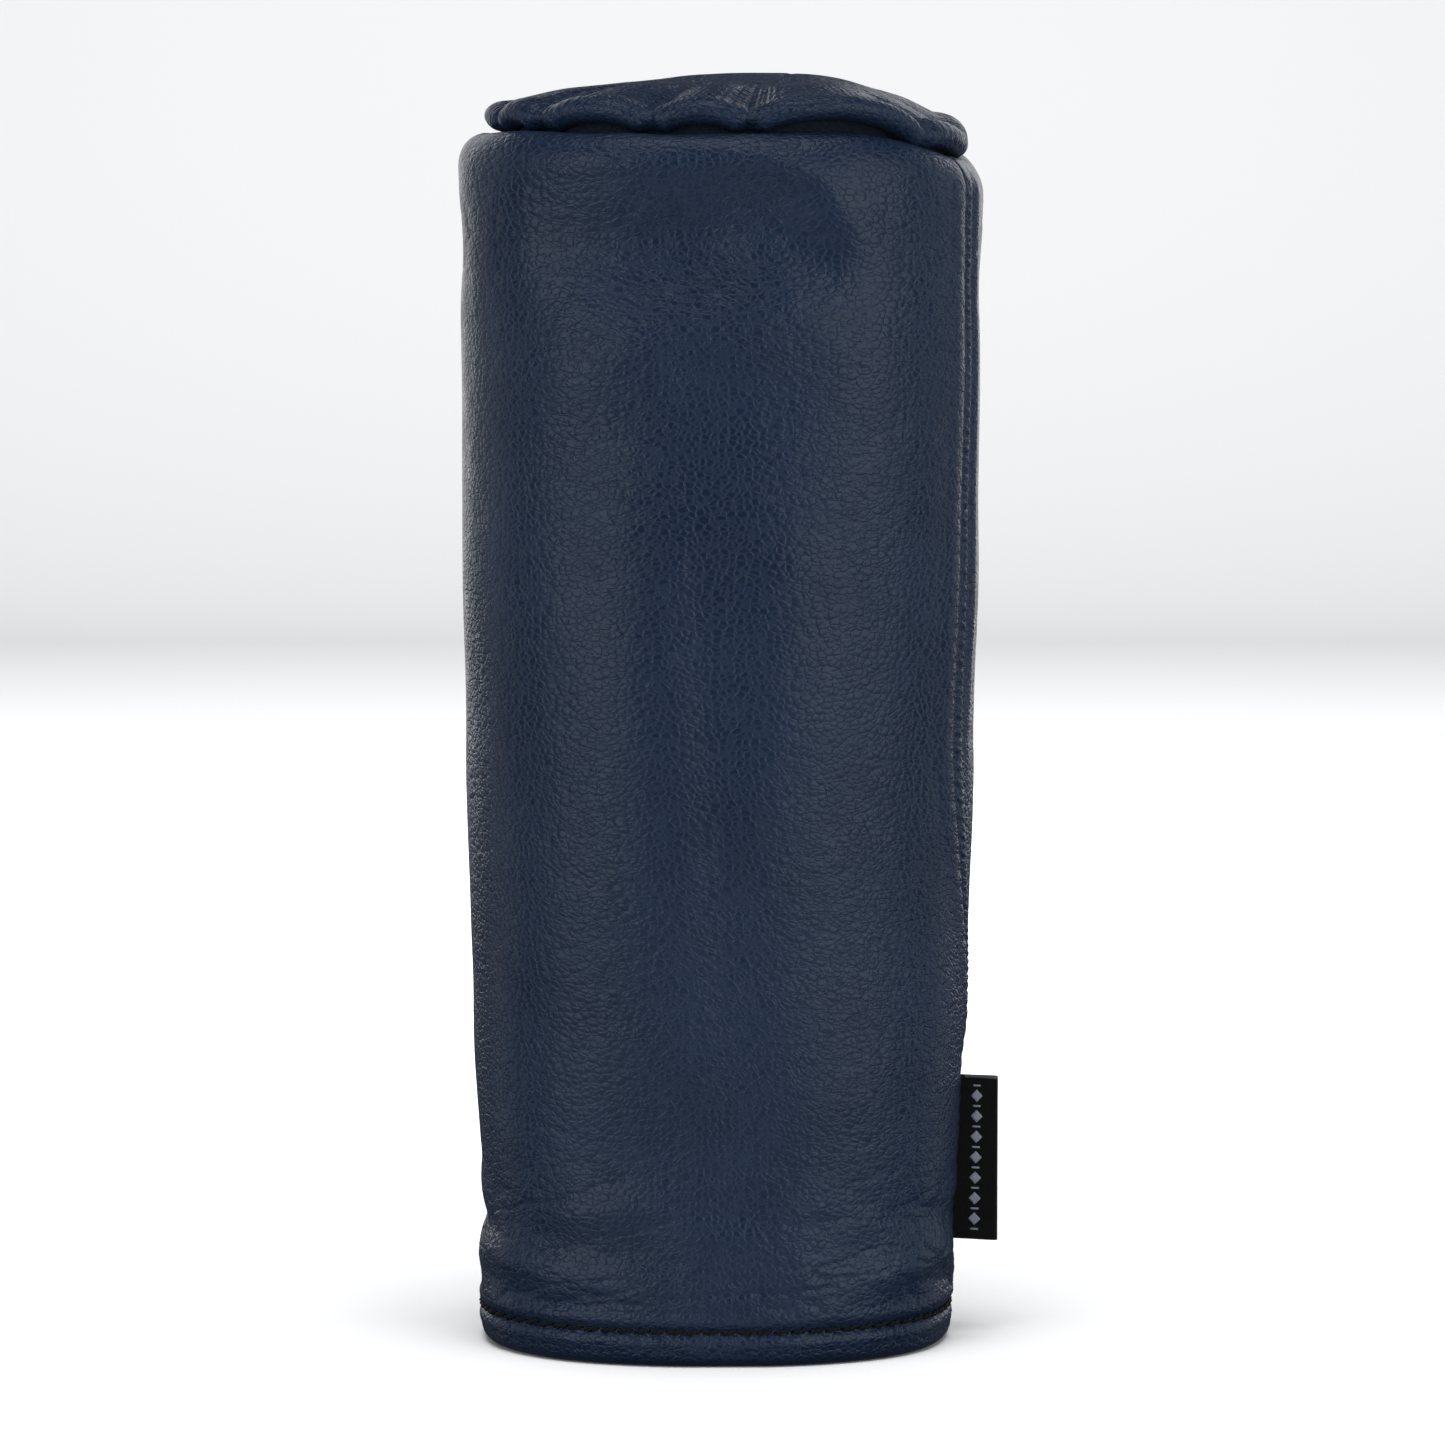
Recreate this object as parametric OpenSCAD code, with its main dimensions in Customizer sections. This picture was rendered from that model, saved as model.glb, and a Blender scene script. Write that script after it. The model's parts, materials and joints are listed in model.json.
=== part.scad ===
// Barrel headcover for a golf driver, in millimetres.
// The barrel stands on its hem with +Z up. The origin is the centre of the opening.
// The front faces -Y, and the side seam with its label runs up the +X side.

/* [Barrel] */
// Height from the hem to the crest of the cap
total_h = 305; // [280:1:330]
// Height of the rolled top edge of the barrel
barrel_h = 288.5; // [264:0.5:310]
// Width at the top of the barrel
top_w = 125.4; // [110:0.2:135]
// Depth at the top of the barrel
top_d = 112; // [100:0.5:125]
// Width at the hem
hem_w = 112; // [100:0.5:120]
// Depth at the hem
hem_d = 93; // [84:0.5:105]
// Roundness of the cross-section, where 2 is an ellipse and more is boxier
oval_power = 2.3; // [2:0.05:2.8]

/* [Layers] */
// Thickness of the leather
leather_t = 1.3; // [1:0.1:1.6]
// Thickness of the foam interlining
foam_t = 2; // [1.5:0.1:2.5]
// Thickness of the fleece lining with its pile
fleece_t = 4; // [3:0.1:5]
// Free play left between two layers
layer_gap = 0.1; // [0.05:0.01:0.2]

/* [Hem] */
// How far the leather is turned up inside the hem
facing_h = 20; // [16:0.5:24]
// Height of the topstitch above the edge
topstitch_z = 8.5; // [6:0.5:11]
// Width of the flat foot that the hem rests on
foot_w = 1.5; // [0.8:0.1:2]
// Height at which the elastic band starts
elastic_z = 24; // [22:0.5:30]
// Width of the elastic band
elastic_h = 20; // [12:1:25]
// Thickness of the elastic band
elastic_t = 1.2; // [0.8:0.1:1.5]

/* [Cap] */
// How far the cap's rolled edge stands in from the barrel's widest line
cap_inset = 4.6; // [3:0.1:6]
// Height of the cap's rolled edge above the barrel's rolled edge
cap_roll_h = 4.8; // [4:0.1:6]
// Radius of the cap's rolled edge
cap_roll_r = 3; // [2.4:0.1:3.4]
// Rise of the cap from its rolled edge to its crest
cap_rise = 8.9; // [6:0.1:12]
// Length of the seam allowances that hang inside the cap seam
allowance_h = 5; // [4:0.5:6]

/* [Side seam] */
// Seam angle at the hem, from +X towards the front
seam_low = 3; // [0:1:20]
// Seam angle in the upper half of the barrel
seam_high = 24; // [0:1:40]
// Height below which the seam keeps its low angle
seam_bend_low = 60; // [40:5:90]
// Height above which the seam keeps its high angle
seam_bend_high = 150; // [120:5:200]
// Width of each seam allowance turned back inside the side seam
flap_w = 6; // [4:0.5:8]

/* [Label] */
// Height of the label's lower edge
tag_z = 23.5; // [20:0.5:60]
// Length of the label along the seam
tag_h = 40; // [25:1:50]
// How far the folded label stands out of the seam
tag_reach = 9.2; // [6:0.2:12]
// Thickness of one layer of the woven label
tag_ply = 0.35; // [0.25:0.05:0.5]
// Number of woven marks along the label
tag_marks = 7; // [3:1:9]

/* [Thread] */
// Thickness of the thread
thread_d = 0.7; // [0.5:0.05:0.9]
// Length of one stitch
stitch = 4.2; // [3:0.1:5]

/* [Hidden] */

sides = 40;
ring_step = 26;
slit_deg = 0.35;
arc_steps = 3;
thread_fn = 16;

// insets from the outer surface, one after another through the wall
foam_in = leather_t + layer_gap;
facing_out = foam_in + foam_t + layer_gap;
facing_in = facing_out + leather_t;
fleece_out = facing_out + layer_gap;
fleece_in = fleece_out + fleece_t;
elastic_bulge = elastic_t + layer_gap;

// rolled top edge of the barrel and the seam beside it
roll_w = 6.5;
roll_h = 8.5;
ditch_r = (leather_t + 1.8) / 2;
ditch_z = barrel_h - leather_t / 2 - ditch_r;
ditch_inset = roll_w + ditch_r;
cap_seam_inset = ditch_inset + leather_t + layer_gap;
allowance_low = ditch_z - allowance_h;
lining_top = allowance_low - layer_gap;
roll_z = barrel_h + cap_roll_h;
foam_top = barrel_h - roll_h - 3;

// label, with its hinge line just clear of the leather
hinge_gap = 0.9;
tag_t = 2 * tag_ply + 0.3;
mark_t = 0.08;
mark_size = 2.6;

leather = [0.13, 0.17, 0.25];
fleece = [0.16, 0.17, 0.19];
foam = [0.55, 0.55, 0.52];
elastic = [0.08, 0.08, 0.09];
black = [0.03, 0.03, 0.04];
pale = [0.72, 0.76, 0.86];

// ---- cross-section of the barrel ----

function taper(z) = sin(90 * min(1, max(0, z / barrel_h)));
function half_w(z) = (hem_w + (top_w - hem_w) * taper(z)) / 2;
function half_d(z) = (hem_d + (top_d - hem_d) * taper(z)) / 2;
function smooth(t) = let (s = min(1, max(0, t))) s * s * (3 - 2 * s);
function seam_deg(z) =
    seam_low + (seam_high - seam_low) * smooth((z - seam_bend_low) / (seam_bend_high - seam_bend_low));

// radius of the oval with half axes a and b, in the direction angle
function oval_r(a, b, angle) =
    pow(pow(abs(cos(angle)) / a, oval_power) + pow(abs(sin(angle)) / b, oval_power), -1 / oval_power);

// point at p = [inset, z, share of the radius], where angle counts from the side seam
function skin(p, angle) =
    let (
        turn = angle - seam_deg(p[1]),
        share = len(p) > 2 ? p[2] : 1,
        r = share * oval_r(half_w(p[1]) - p[0], half_d(p[1]) - p[0], turn)
    )
    [r * cos(turn), r * sin(turn), p[1]];

// heights of a straight wall from z0 to z1, on rings that every layer shares
function heights(z0, z1) = [
    z0,
    for (i = [1:ceil(barrel_h / ring_step)])
        if (i * ring_step > z0 + 3 && i * ring_step < z1 - 3) i * ring_step,
    z1
];
function wall(inset, z0, z1) = [for (z = heights(z0, z1)) [inset, z]];
function reversed(list) = [for (i = [len(list) - 1:-1:0]) list[i]];

// elliptical arc about c in the [inset, z] plane
function arc(c, rx, rz, from, to, steps) =
    [for (i = [0:steps]) let (t = from + (to - from) * i / steps) c + [rx * cos(t), rz * sin(t)]];

// unit normal on the left of a path at point i
function left_of(path, i) =
    let (
        d = path[min(i + 1, len(path) - 1)] - path[max(i - 1, 0)]
    )
    [-d[1], d[0]] / norm(d);
function beside(path, distance) = [for (i = [0:len(path) - 1]) path[i] + distance * left_of(path, i)];

// ---- solids swept round the barrel ----

// a strip between two matching paths, swept from one angle to the other; both its sides split
// their quads along the same diagonal, so that neighbouring layers stay parallel
module strip(outer, inner, from = 0, to = 360) {
    n = len(outer);
    closed = to - from > 359.9;
    steps = max(2, ceil(sides * (to - from) / 360));
    rows = closed ? steps : steps + 1;
    loop = concat(outer, reversed(inner));
    m = 2 * n;
    points = [
        for (i = [0:rows - 1]) for (p = loop) skin(p, from + (to - from) * i / steps)
    ];
    round_faces = [
        for (i = [0:steps - 1]) for (j = [0:m - 1])
            let (
                k = (i + 1) % rows,
                a = i * m + j,
                b = k * m + j,
                c = k * m + (j + 1) % m,
                d = i * m + (j + 1) % m
            )
            each j < n ? [[c, b, a], [d, c, a]] : [[d, c, b], [d, b, a]]
    ];
    last = (rows - 1) * m;
    end_faces = closed ? [] : [
        for (j = [0:n - 2])
            let (a = j, b = j + 1, c = m - 2 - j, d = m - 1 - j)
            each [
                [c, b, a],
                [d, c, a],
                [last + a, last + b, last + c],
                [last + a, last + c, last + d]
            ]
    ];
    polyhedron(points, concat(round_faces, end_faces));
}

// a solid of stacked ovals that closes at a point on the axis below and above
module oval_stack(profile, low_z, high_z) {
    m = len(profile);
    points = concat(
        [for (i = [0:sides - 1]) for (p = profile) skin(p, 360 * i / sides)],
        [[0, 0, low_z], [0, 0, high_z]]
    );
    low = sides * m;
    high = low + 1;
    faces = [
        for (i = [0:sides - 1])
            let (k = (i + 1) % sides)
            each concat(
                [for (j = [0:m - 2]) each [
                    [i * m + j, k * m + j + 1, k * m + j],
                    [i * m + j, i * m + j + 1, k * m + j + 1]
                ]],
                [[low, i * m, k * m], [high, k * m + m - 1, i * m + m - 1]]
            )
    ];
    polyhedron(points, faces);
}

// ---- stitches ----

// cumulative length round the barrel at p, paired with the angle
function girth_table(p) =
    let (
        n = 120,
        q = [for (i = [0:n]) skin(p, 360 * i / n)]
    )
    [for (i = 0, s = 0; i <= n; s = s + (i < n ? norm(q[i + 1] - q[i]) : 0), i = i + 1) [s, 360 * i / n]];

// one straight stitch from a to b
module thread_run(a, b, d = thread_d) {
    v = b - a;
    translate(a)
        rotate([0, acos(v[2] / norm(v)), atan2(v[1], v[0])])
            cylinder(h = norm(v), d = d, $fn = thread_fn);
}

// a ring of stitches at [inset, z], each taking up its share of one pitch
module stitch_ring(p, pitch = stitch, filled = 0.72, rise = 0) {
    table = girth_table(p);
    girth = table[len(table) - 1][0];
    n = round(girth / pitch);
    for (i = [0:n - 1]) {
        low = lookup((i + 0.5 - filled / 2) * girth / n, table);
        high = lookup((i + 0.5 + filled / 2) * girth / n, table);
        thread_run(skin(p - [0, rise / 2], low), skin(p + [0, rise / 2], high));
    }
}

// a row of stitches up the side seam, turned round the barrel by angle
module stitch_row(inset, z0, z1, angle = 0, filled = 0.72) {
    n = round((z1 - z0) / stitch);
    pitch = (z1 - z0) / n;
    for (i = [0:n - 1]) {
        z = z0 + (i + 0.5) * pitch;
        half = filled * pitch / 2;
        thread_run(skin([inset, z - half], angle), skin([inset, z + half], angle));
    }
}

// ---- leather ----

// middle line of the leather, from the top of the facing down round the hem and up to the cap seam
hem_r = (facing_in - leather_t - foot_w) / 2;
wrap_line = concat(
    [[facing_in - leather_t / 2, facing_h]],
    arc([facing_in - leather_t / 2 - hem_r, leather_t / 2 + hem_r], hem_r, hem_r, 0, -90, arc_steps),
    arc([leather_t / 2 + hem_r, leather_t / 2 + hem_r], hem_r, hem_r, -90, -180, arc_steps),
    wall(leather_t / 2, topstitch_z, barrel_h - roll_h),
    arc(
        [roll_w, barrel_h - roll_h],
        roll_w - leather_t / 2, roll_h - leather_t / 2, 160, 90, 4
    ),
    arc([roll_w, ditch_z], ditch_r, ditch_r, 60, 0, 2),
    [[ditch_inset, allowance_low]]
);

// a seam allowance turned back against the inside of the wall
module seam_flap(from, to) {
    low = facing_h + 2;
    high = barrel_h - roll_h;
    root = leather_t - 0.3;
    strip(wall(root, low, high), wall(leather_t + foam_t - 0.6, low, high), from, to);
}

module body_wrap() {
    flap_deg = flap_w / hem_w * 120;
    color(leather) {
        union() {
            strip(
                beside(wrap_line, leather_t / 2), beside(wrap_line, -leather_t / 2),
                slit_deg, 360 - slit_deg
            );
            seam_flap(3 * slit_deg, flap_deg);
            seam_flap(360 - flap_deg, 360 - 3 * slit_deg);
        }
    }
}

// height of the cap's upper side where the radius is share of its full size
function dome(share) = total_h - cap_rise * pow(share, 1.5);

module top_disc() {
    flesh_inset = cap_seam_inset + leather_t / 2;
    grain_inset = cap_seam_inset - leather_t / 2;
    shares = [0.25, 0.5, 0.7, 0.85, 0.95];
    grain = concat(
        [[grain_inset, allowance_low], [grain_inset, barrel_h - 1], [grain_inset - 1.4, barrel_h + 0.6]],
        arc([cap_inset + cap_roll_r, roll_z], cap_roll_r, cap_roll_r, 260, 110, 5),
        [for (s = reversed(shares)) [cap_inset, dome(s), s]]
    );
    flesh = concat(
        [for (s = shares) [cap_inset, dome(s) - leather_t, s]],
        arc([cap_inset + cap_roll_r, roll_z], cap_roll_r - leather_t, cap_roll_r - leather_t, 130, 250, 3),
        [[flesh_inset, barrel_h + 2], [flesh_inset, allowance_low]]
    );
    color(leather) oval_stack(concat(flesh, grain), total_h - leather_t, total_h);
}

module cap_pad() {
    rim = cap_seam_inset + leather_t / 2 + 2 * layer_gap;
    base = lining_top + 2 * layer_gap;
    shares = [0.84, 0.68, 0.5, 0.25];
    color(foam) oval_stack(
        concat(
            [[rim, base, 0.5], [rim, base], [rim, barrel_h]],
            [for (s = shares) [cap_inset, dome(s) - leather_t - 0.5, s]]
        ),
        base, total_h - leather_t - 0.5
    );
}

// ---- inner layers ----

module interlining_sleeve() {
    margin = 360 / sides;
    low = 2 * leather_t;
    color(foam) strip(
        wall(foam_in, low, foam_top), wall(foam_in + foam_t, low, foam_top),
        margin, 360 - margin
    );
}

module elastic_band() {
    color(elastic) strip(
        [[fleece_out, elastic_z], [fleece_out, elastic_z + elastic_h]],
        [[fleece_out + elastic_t, elastic_z], [fleece_out + elastic_t, elastic_z + elastic_h]]
    );
}

// side of the lining sleeve, stepped inwards over the elastic band
function lining_side(inset) = concat(
    [
        [inset, facing_h + 0.3],
        [inset + elastic_bulge, elastic_z - 0.5],
        [inset + elastic_bulge, elastic_z + elastic_h + 0.5],
        [inset, elastic_z + elastic_h + 5]
    ],
    [for (z = heights(2 * ring_step, lining_top)) if (z > elastic_z + elastic_h + 6) [inset, z]]
);

module lining_sleeve() {
    color(fleece) strip(lining_side(fleece_out), lining_side(fleece_in));
}

module lining_disc() {
    rim = fleece_in + layer_gap;
    base = lining_top - fleece_t;
    color(fleece) oval_stack(
        [[rim, base, 0.5], [rim, base], [rim, lining_top], [rim, lining_top, 0.5]],
        base, lining_top
    );
}

// ---- label ----

// puts its children on the seam, with +X pointing out of the leather and +Z up the seam
module at_tag() {
    low = skin([0, tag_z], 0);
    up = (skin([0, tag_z + tag_h], 0) - low) / norm(skin([0, tag_z + tag_h], 0) - low);
    inward = skin([1, tag_z], 0) - low;
    side = cross(up, -inward) / norm(cross(up, -inward));
    out = cross(side, up);
    multmatrix([
        [out[0], side[0], up[0], low[0]],
        [out[1], side[1], up[1], low[1]],
        [out[2], side[2], up[2], low[2]]
    ]) children();
}

// the label is one ribbon folded in two, with its fold outwards
module side_tag() {
    fold_r = tag_t / 2;
    color(black) at_tag() translate([hinge_gap, 0, 0]) difference() {
        union() {
            translate([0, -fold_r, 0]) cube([tag_reach - hinge_gap - fold_r, tag_t, tag_h]);
            translate([tag_reach - hinge_gap - fold_r, 0, 0]) cylinder(h = tag_h, r = fold_r, $fn = 32);
        }
        translate([-1, -fold_r + tag_ply, -1])
            cube([tag_reach - hinge_gap - fold_r + 1, tag_t - 2 * tag_ply, tag_h + 2]);
    }
}

// the two ends of the ribbon, caught between the seam allowances
module tag_tail() {
    depth = leather_t + foam_t - layer_gap;
    end_gap = hinge_gap - tag_t / 2 - 3 * layer_gap;
    color(black) at_tag() translate([-depth, -tag_ply, 0])
        cube([depth + end_gap, 2 * tag_ply, tag_h]);
}

// plain diamonds woven into both faces of the label
module tag_motif() {
    spacing = tag_h / (tag_marks + 1);
    middle = (hinge_gap + tag_reach) / 2;
    color(pale) at_tag() for (face = [-1, 1], i = [1:tag_marks])
        translate([middle, face * (tag_t / 2 + mark_t / 2), i * spacing])
            rotate([90, 45, 0])
                cube([mark_size, mark_size, mark_t], center = true);
}

// ---- threads ----

module hem_needle_thread() {
    color(black) stitch_ring([0, topstitch_z]);
}

module hem_bobbin_thread() {
    color(black) stitch_ring([facing_in, topstitch_z]);
}

module side_seam_thread() {
    color(black) stitch_row(leather_t / 2, facing_h + 3, barrel_h - roll_h);
}

module cap_seam_thread() {
    color(black) stitch_ring([ditch_inset + leather_t / 2 + layer_gap / 2, ditch_z - allowance_h / 2]);
}

module facing_thread() {
    color(black) stitch_ring([facing_in - leather_t / 2, facing_h], filled = 0.6);
}

module elastic_thread() {
    color(black) stitch_ring(
        [fleece_out + elastic_t + layer_gap / 2, elastic_z + elastic_h / 2],
        pitch = 5, filled = 0.8, rise = 3
    );
}

module lining_side_thread() {
    color(black) stitch_row(fleece_in, elastic_z + elastic_h + 6, lining_top - fleece_t - 1, 180);
}

module lining_cap_thread() {
    color(black) stitch_ring([fleece_in + layer_gap / 2, lining_top - fleece_t / 2]);
}

body_wrap();
top_disc();
cap_pad();
interlining_sleeve();
lining_sleeve();
lining_disc();
elastic_band();
side_tag();
tag_tail();
tag_motif();
hem_needle_thread();
hem_bobbin_thread();
side_seam_thread();
cap_seam_thread();
facing_thread();
elastic_thread();
lining_side_thread();
lining_cap_thread();
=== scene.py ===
import itertools
import json
import math

import bpy
import numpy as np
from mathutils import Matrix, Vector


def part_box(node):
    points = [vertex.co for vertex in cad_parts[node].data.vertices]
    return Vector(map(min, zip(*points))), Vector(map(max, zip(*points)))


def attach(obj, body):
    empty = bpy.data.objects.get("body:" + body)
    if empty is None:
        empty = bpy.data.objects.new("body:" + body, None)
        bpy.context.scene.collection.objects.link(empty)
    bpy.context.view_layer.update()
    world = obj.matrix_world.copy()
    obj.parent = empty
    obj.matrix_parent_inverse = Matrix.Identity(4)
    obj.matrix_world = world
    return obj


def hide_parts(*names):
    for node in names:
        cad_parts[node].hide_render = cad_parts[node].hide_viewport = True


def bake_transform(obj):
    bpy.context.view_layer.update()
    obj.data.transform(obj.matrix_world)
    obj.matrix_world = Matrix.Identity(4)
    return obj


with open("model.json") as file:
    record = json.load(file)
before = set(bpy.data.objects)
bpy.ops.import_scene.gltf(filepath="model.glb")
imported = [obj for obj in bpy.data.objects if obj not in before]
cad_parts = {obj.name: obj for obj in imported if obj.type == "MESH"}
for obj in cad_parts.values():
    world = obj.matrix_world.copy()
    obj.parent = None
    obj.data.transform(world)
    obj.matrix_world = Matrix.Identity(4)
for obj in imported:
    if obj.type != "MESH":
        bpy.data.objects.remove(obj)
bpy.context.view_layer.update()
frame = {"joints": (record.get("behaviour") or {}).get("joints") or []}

# A barrel headcover for a golf driver. Lengths are in millimetres until a mesh is made, and angles
# are in radians unless a name ends in _DEG. A turn is counted round +Z from +X, so the front, -Y, is
# at -90 degrees. An inset is a distance in from the barrel's outer surface.

MM = 0.001

# ---- sizes, from the frame


def box_mm(node):
    low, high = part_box(node)
    return np.array(low) / MM, np.array(high) / MM


BARREL_H = box_mm("body_wrap")[1][2]
TOTAL_H = box_mm("top_disc")[1][2]
TOP_HALF = box_mm("body_wrap")[1][:2]
THREAD_R = 0.35
TOPSTITCH_Z = box_mm("hem_needle_thread")[0][2] + THREAD_R
STITCH_TAPER = math.sin(math.pi / 2 * TOPSTITCH_Z / BARREL_H)
HEM_HALF = (box_mm("hem_needle_thread")[1][:2] - THREAD_R - TOP_HALF * STITCH_TAPER) / (1 - STITCH_TAPER)
SEAM_FOOT = box_mm("cap_seam_thread")[0][2] - 2.2
FACING_H = box_mm("facing_thread")[0][2] + THREAD_R
ELASTIC_Z = box_mm("elastic_band")[0][2], box_mm("elastic_band")[1][2]
LINING_Z = box_mm("lining_sleeve")[0][2], box_mm("lining_sleeve")[1][2]
TAG_Z = box_mm("tag_tail")[0][2], box_mm("tag_tail")[1][2]
HINGE = frame["joints"][0]
HINGE_POINT = np.array(HINGE["pos_m"]) / MM
HINGE_AXIS = np.array(HINGE["axis"])

# ---- sizes of the layers and folds

LEATHER = 1.3
OVAL_POWER = 2.3
SEAM_LOW_DEG, SEAM_HIGH_DEG = 3, 24
SEAM_BEND = 60, 150
MEAN_R = 58.0
TWIST_DEG, TWIST_Z, TWIST_REACH = 8.0, 130, 75
DIP_DEG, DIP_HALF_DEG, DIP_DEPTH, DIP_FOOT_Z = -8, 30, 6.0, 236
ROLL_W, ROLL_H = 6.5, 8.5
DITCH_R = 2.2
HEM_ROUND = 3.0
FACING_INSET = 4.8
CAP_INSET = 5.2
CAP_LIP = 4.6
CAP_RISE, CAP_BROW = 7.2, 1.5
STITCH = 4.2
EDGE_R, EDGE_DEPTH = 1.25, 2.4
SEAM_ZONE = 12.0
COLUMN = 0.85
ROW = 0.6
CAP_COLUMNS = 960
FLEECE_OUT = 3.6
TAG_PLY = 0.35
TAG_REACH = 9.2
TAG_LENGTH = 40.0
TAG_ROWS = 40
TAG_SEWN = 3.0
MARKS = 7

CAMERA_DISTANCE = 1.5
CAMERA_TILT_DEG = 5.1
CAMERA_AIM = (0.0006, 0.0, 0.1484)
FRAME_WIDTH = 0.3477

# ---- noise and curves


def stacked(*grids):
    """One list of points from several grids of them."""
    return np.concatenate([grid.reshape(-1, 3) for grid in grids])


def smooth(t):
    t = np.clip(t, 0, 1)
    return t * t * (3 - 2 * t)


def bell(t):
    return np.exp(-(t * t))


def xyz(x, y, z):
    return np.stack(np.broadcast_arrays(x, y, z), -1)


def around(value, whole=2 * np.pi):
    """The same place on a circle, counted from minus half of the whole to plus half."""
    return (value + whole / 2) % whole - whole / 2


def travelled(points):
    """The length along a path to each of its points."""
    return np.concatenate([[0], np.cumsum(np.linalg.norm(np.diff(points, axis=0), axis=1))])


def ring(turn, z=0.0, radius=MEAN_R):
    """Points on a plain cylinder, for noise that closes round the barrel."""
    return xyz(np.cos(turn) * radius, np.sin(turn) * radius, z)


def hashed(x, y, z, seed):
    """A value from -1 to 1 for each lattice point."""
    with np.errstate(over="ignore"):
        h = (
            x.astype(np.uint32) * np.uint32(374761393)
            + y.astype(np.uint32) * np.uint32(668265263)
            + z.astype(np.uint32) * np.uint32(2246822519)
            + np.uint32(seed * 7919 + 17)
        )
        h = (h ^ (h >> np.uint32(13))) * np.uint32(1274126177)
        h = (h ^ (h >> np.uint32(16))) * np.uint32(2654435761)
    return (h >> np.uint32(8)).astype(float) / (1 << 23) - 1


def noise(p, size, seed):
    """Smooth noise from -1 to 1 at points p, with features about as big as size, one for each axis."""
    q = p / np.array(size, float)
    cell = np.floor(q).astype(np.int64)
    f = q - cell
    f = f * f * f * (f * (f * 6 - 15) + 10)
    total = np.zeros(p.shape[:-1])
    for corner in itertools.product((0, 1), repeat=3):
        share = 1.0
        for axis, step in enumerate(corner):
            share = share * (f[..., axis] if step else 1 - f[..., axis])
        total += share * hashed(*(cell[..., axis] + step + 4096 for axis, step in enumerate(corner)), seed)
    return total


def creases(p, size, seed, width):
    """Long thin valleys, 1 at their bottom, along the lines where two noises are equal."""
    warp = 0.45 * noise(p, np.array(size) * 0.4, seed + 1)
    return bell((noise(p, size, seed) + warp) / width)


def arc(c_inset, c_z, r_inset, r_z, start_deg, end_deg, steps):
    t = np.radians(np.linspace(start_deg, end_deg, steps + 1))
    return np.stack([c_inset + r_inset * np.cos(t), c_z + r_z * np.sin(t)], -1)


def line(a, b, step):
    n = max(1, math.ceil(np.hypot(b[0] - a[0], b[1] - a[1]) / step))
    return np.array(a) + np.linspace(0, 1, n + 1)[:, None] * (np.array(b) - np.array(a))


def joined(*parts):
    """One path from several, without the points that repeat."""
    path = np.concatenate(parts)
    far = np.linalg.norm(np.diff(path, axis=0), axis=1) > 1e-6
    return path[np.concatenate([[True], far])]


def path_normal(path):
    """The grain side's direction at each point of an [inset, z] path, as [inset, z]."""
    d = np.gradient(path, axis=0)
    d /= np.linalg.norm(d, axis=1)[:, None]
    return np.stack([-d[:, 1], d[:, 0]], -1)


# ---- the barrel's shape


def seam_turn(z):
    share = smooth((z - SEAM_BEND[0]) / (SEAM_BEND[1] - SEAM_BEND[0]))
    return -np.radians(SEAM_LOW_DEG + (SEAM_HIGH_DEG - SEAM_LOW_DEG) * share)


def twist(z):
    """How far the oval itself is turned, because the tube of leather was sewn with a slight twist."""
    return np.radians(TWIST_DEG * bell((z - TWIST_Z) / TWIST_REACH))


def oval(inset, z, turn):
    t = np.sin(np.pi / 2 * np.clip(z / BARREL_H, 0, 1))
    a = HEM_HALF[0] + (TOP_HALF[0] - HEM_HALF[0]) * t - inset
    b = HEM_HALF[1] + (TOP_HALF[1] - HEM_HALF[1]) * t - inset
    u = turn - twist(z)
    return (np.abs(np.cos(u) / a) ** OVAL_POWER + np.abs(np.sin(u) / b) ** OVAL_POWER) ** (-1 / OVAL_POWER)


def front_s(turn):
    """Distance round the barrel from the middle of the front, more to the right."""
    return MEAN_R * around(turn + np.pi / 2)


# Arches of the cap's rolled edge: [middle in degrees, half width in degrees, height].
ARCHES = [
    (-151, 5, 1.6),
    (-124.5, 11, 2.3),
    (-95.7, 9, 1.9),
    (-57, 20, 3.3),
    (-19, 12, 1.6),
    (12, 10, 1.4),
    (41, 12, 2.8),
    (74, 12, 2.4),
    (106, 12, 3.0),
    (136, 11, 2.2),
    (164, 9, 1.4),
    (-172, 6, 0.6),
]

# Broad hollows and swells of the padded wall: [s, z, half width, half height, tilt in degrees, height].
FRONT_SWELLS = [
    (-6, 264, 23, 12, 4, -6.2),
    (-34, 262, 16, 11, -14, -2.6),
    (23, 262, 8, 13, 42, -2.4),
    (-34, 283, 14, 4.5, 0, 0.9),
    (13, 282, 12, 4, -14, 2.4),
    (28, 270, 7, 11, 40, 2.0),
    (2, 243, 20, 9, 4, 1.6),
    (-32, 236, 20, 12, 20, 2.2),
    (36, 236, 14, 24, 30, 0.9),
    (-24, 170, 15, 60, 4, 1.0),
    (22, 140, 15, 70, -4, 0.9),
    (-1, 140, 8, 90, 3, -1.2),
    (-12, 50, 30, 14, 12, -1.0),
    (24, 62, 24, 11, 14, 1.0),
    (-30, 36, 24, 6, 6, 0.9),
]
BACK_SWELLS = [
    (150, 262, 28, 12, 10, -2.2),
    (-150, 240, 26, 18, -14, 1.3),
    (172, 150, 26, 50, 8, -1.2),
    (120, 120, 22, 40, -6, 0.9),
    (-110, 200, 22, 40, 4, -1.0),
    (-100, 70, 24, 18, 12, 1.0),
    (140, 50, 30, 14, -10, -0.9),
    (-168, 36, 30, 8, 6, 0.9),
    (-84, 7, 44, 15, 0, 2.2),
    (92, 4, 30, 12, 0, -0.6),
    (96, 255, 18, 12, 0, -1.2),
    (-92, 262, 16, 10, 0, -1.4),
]


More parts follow.
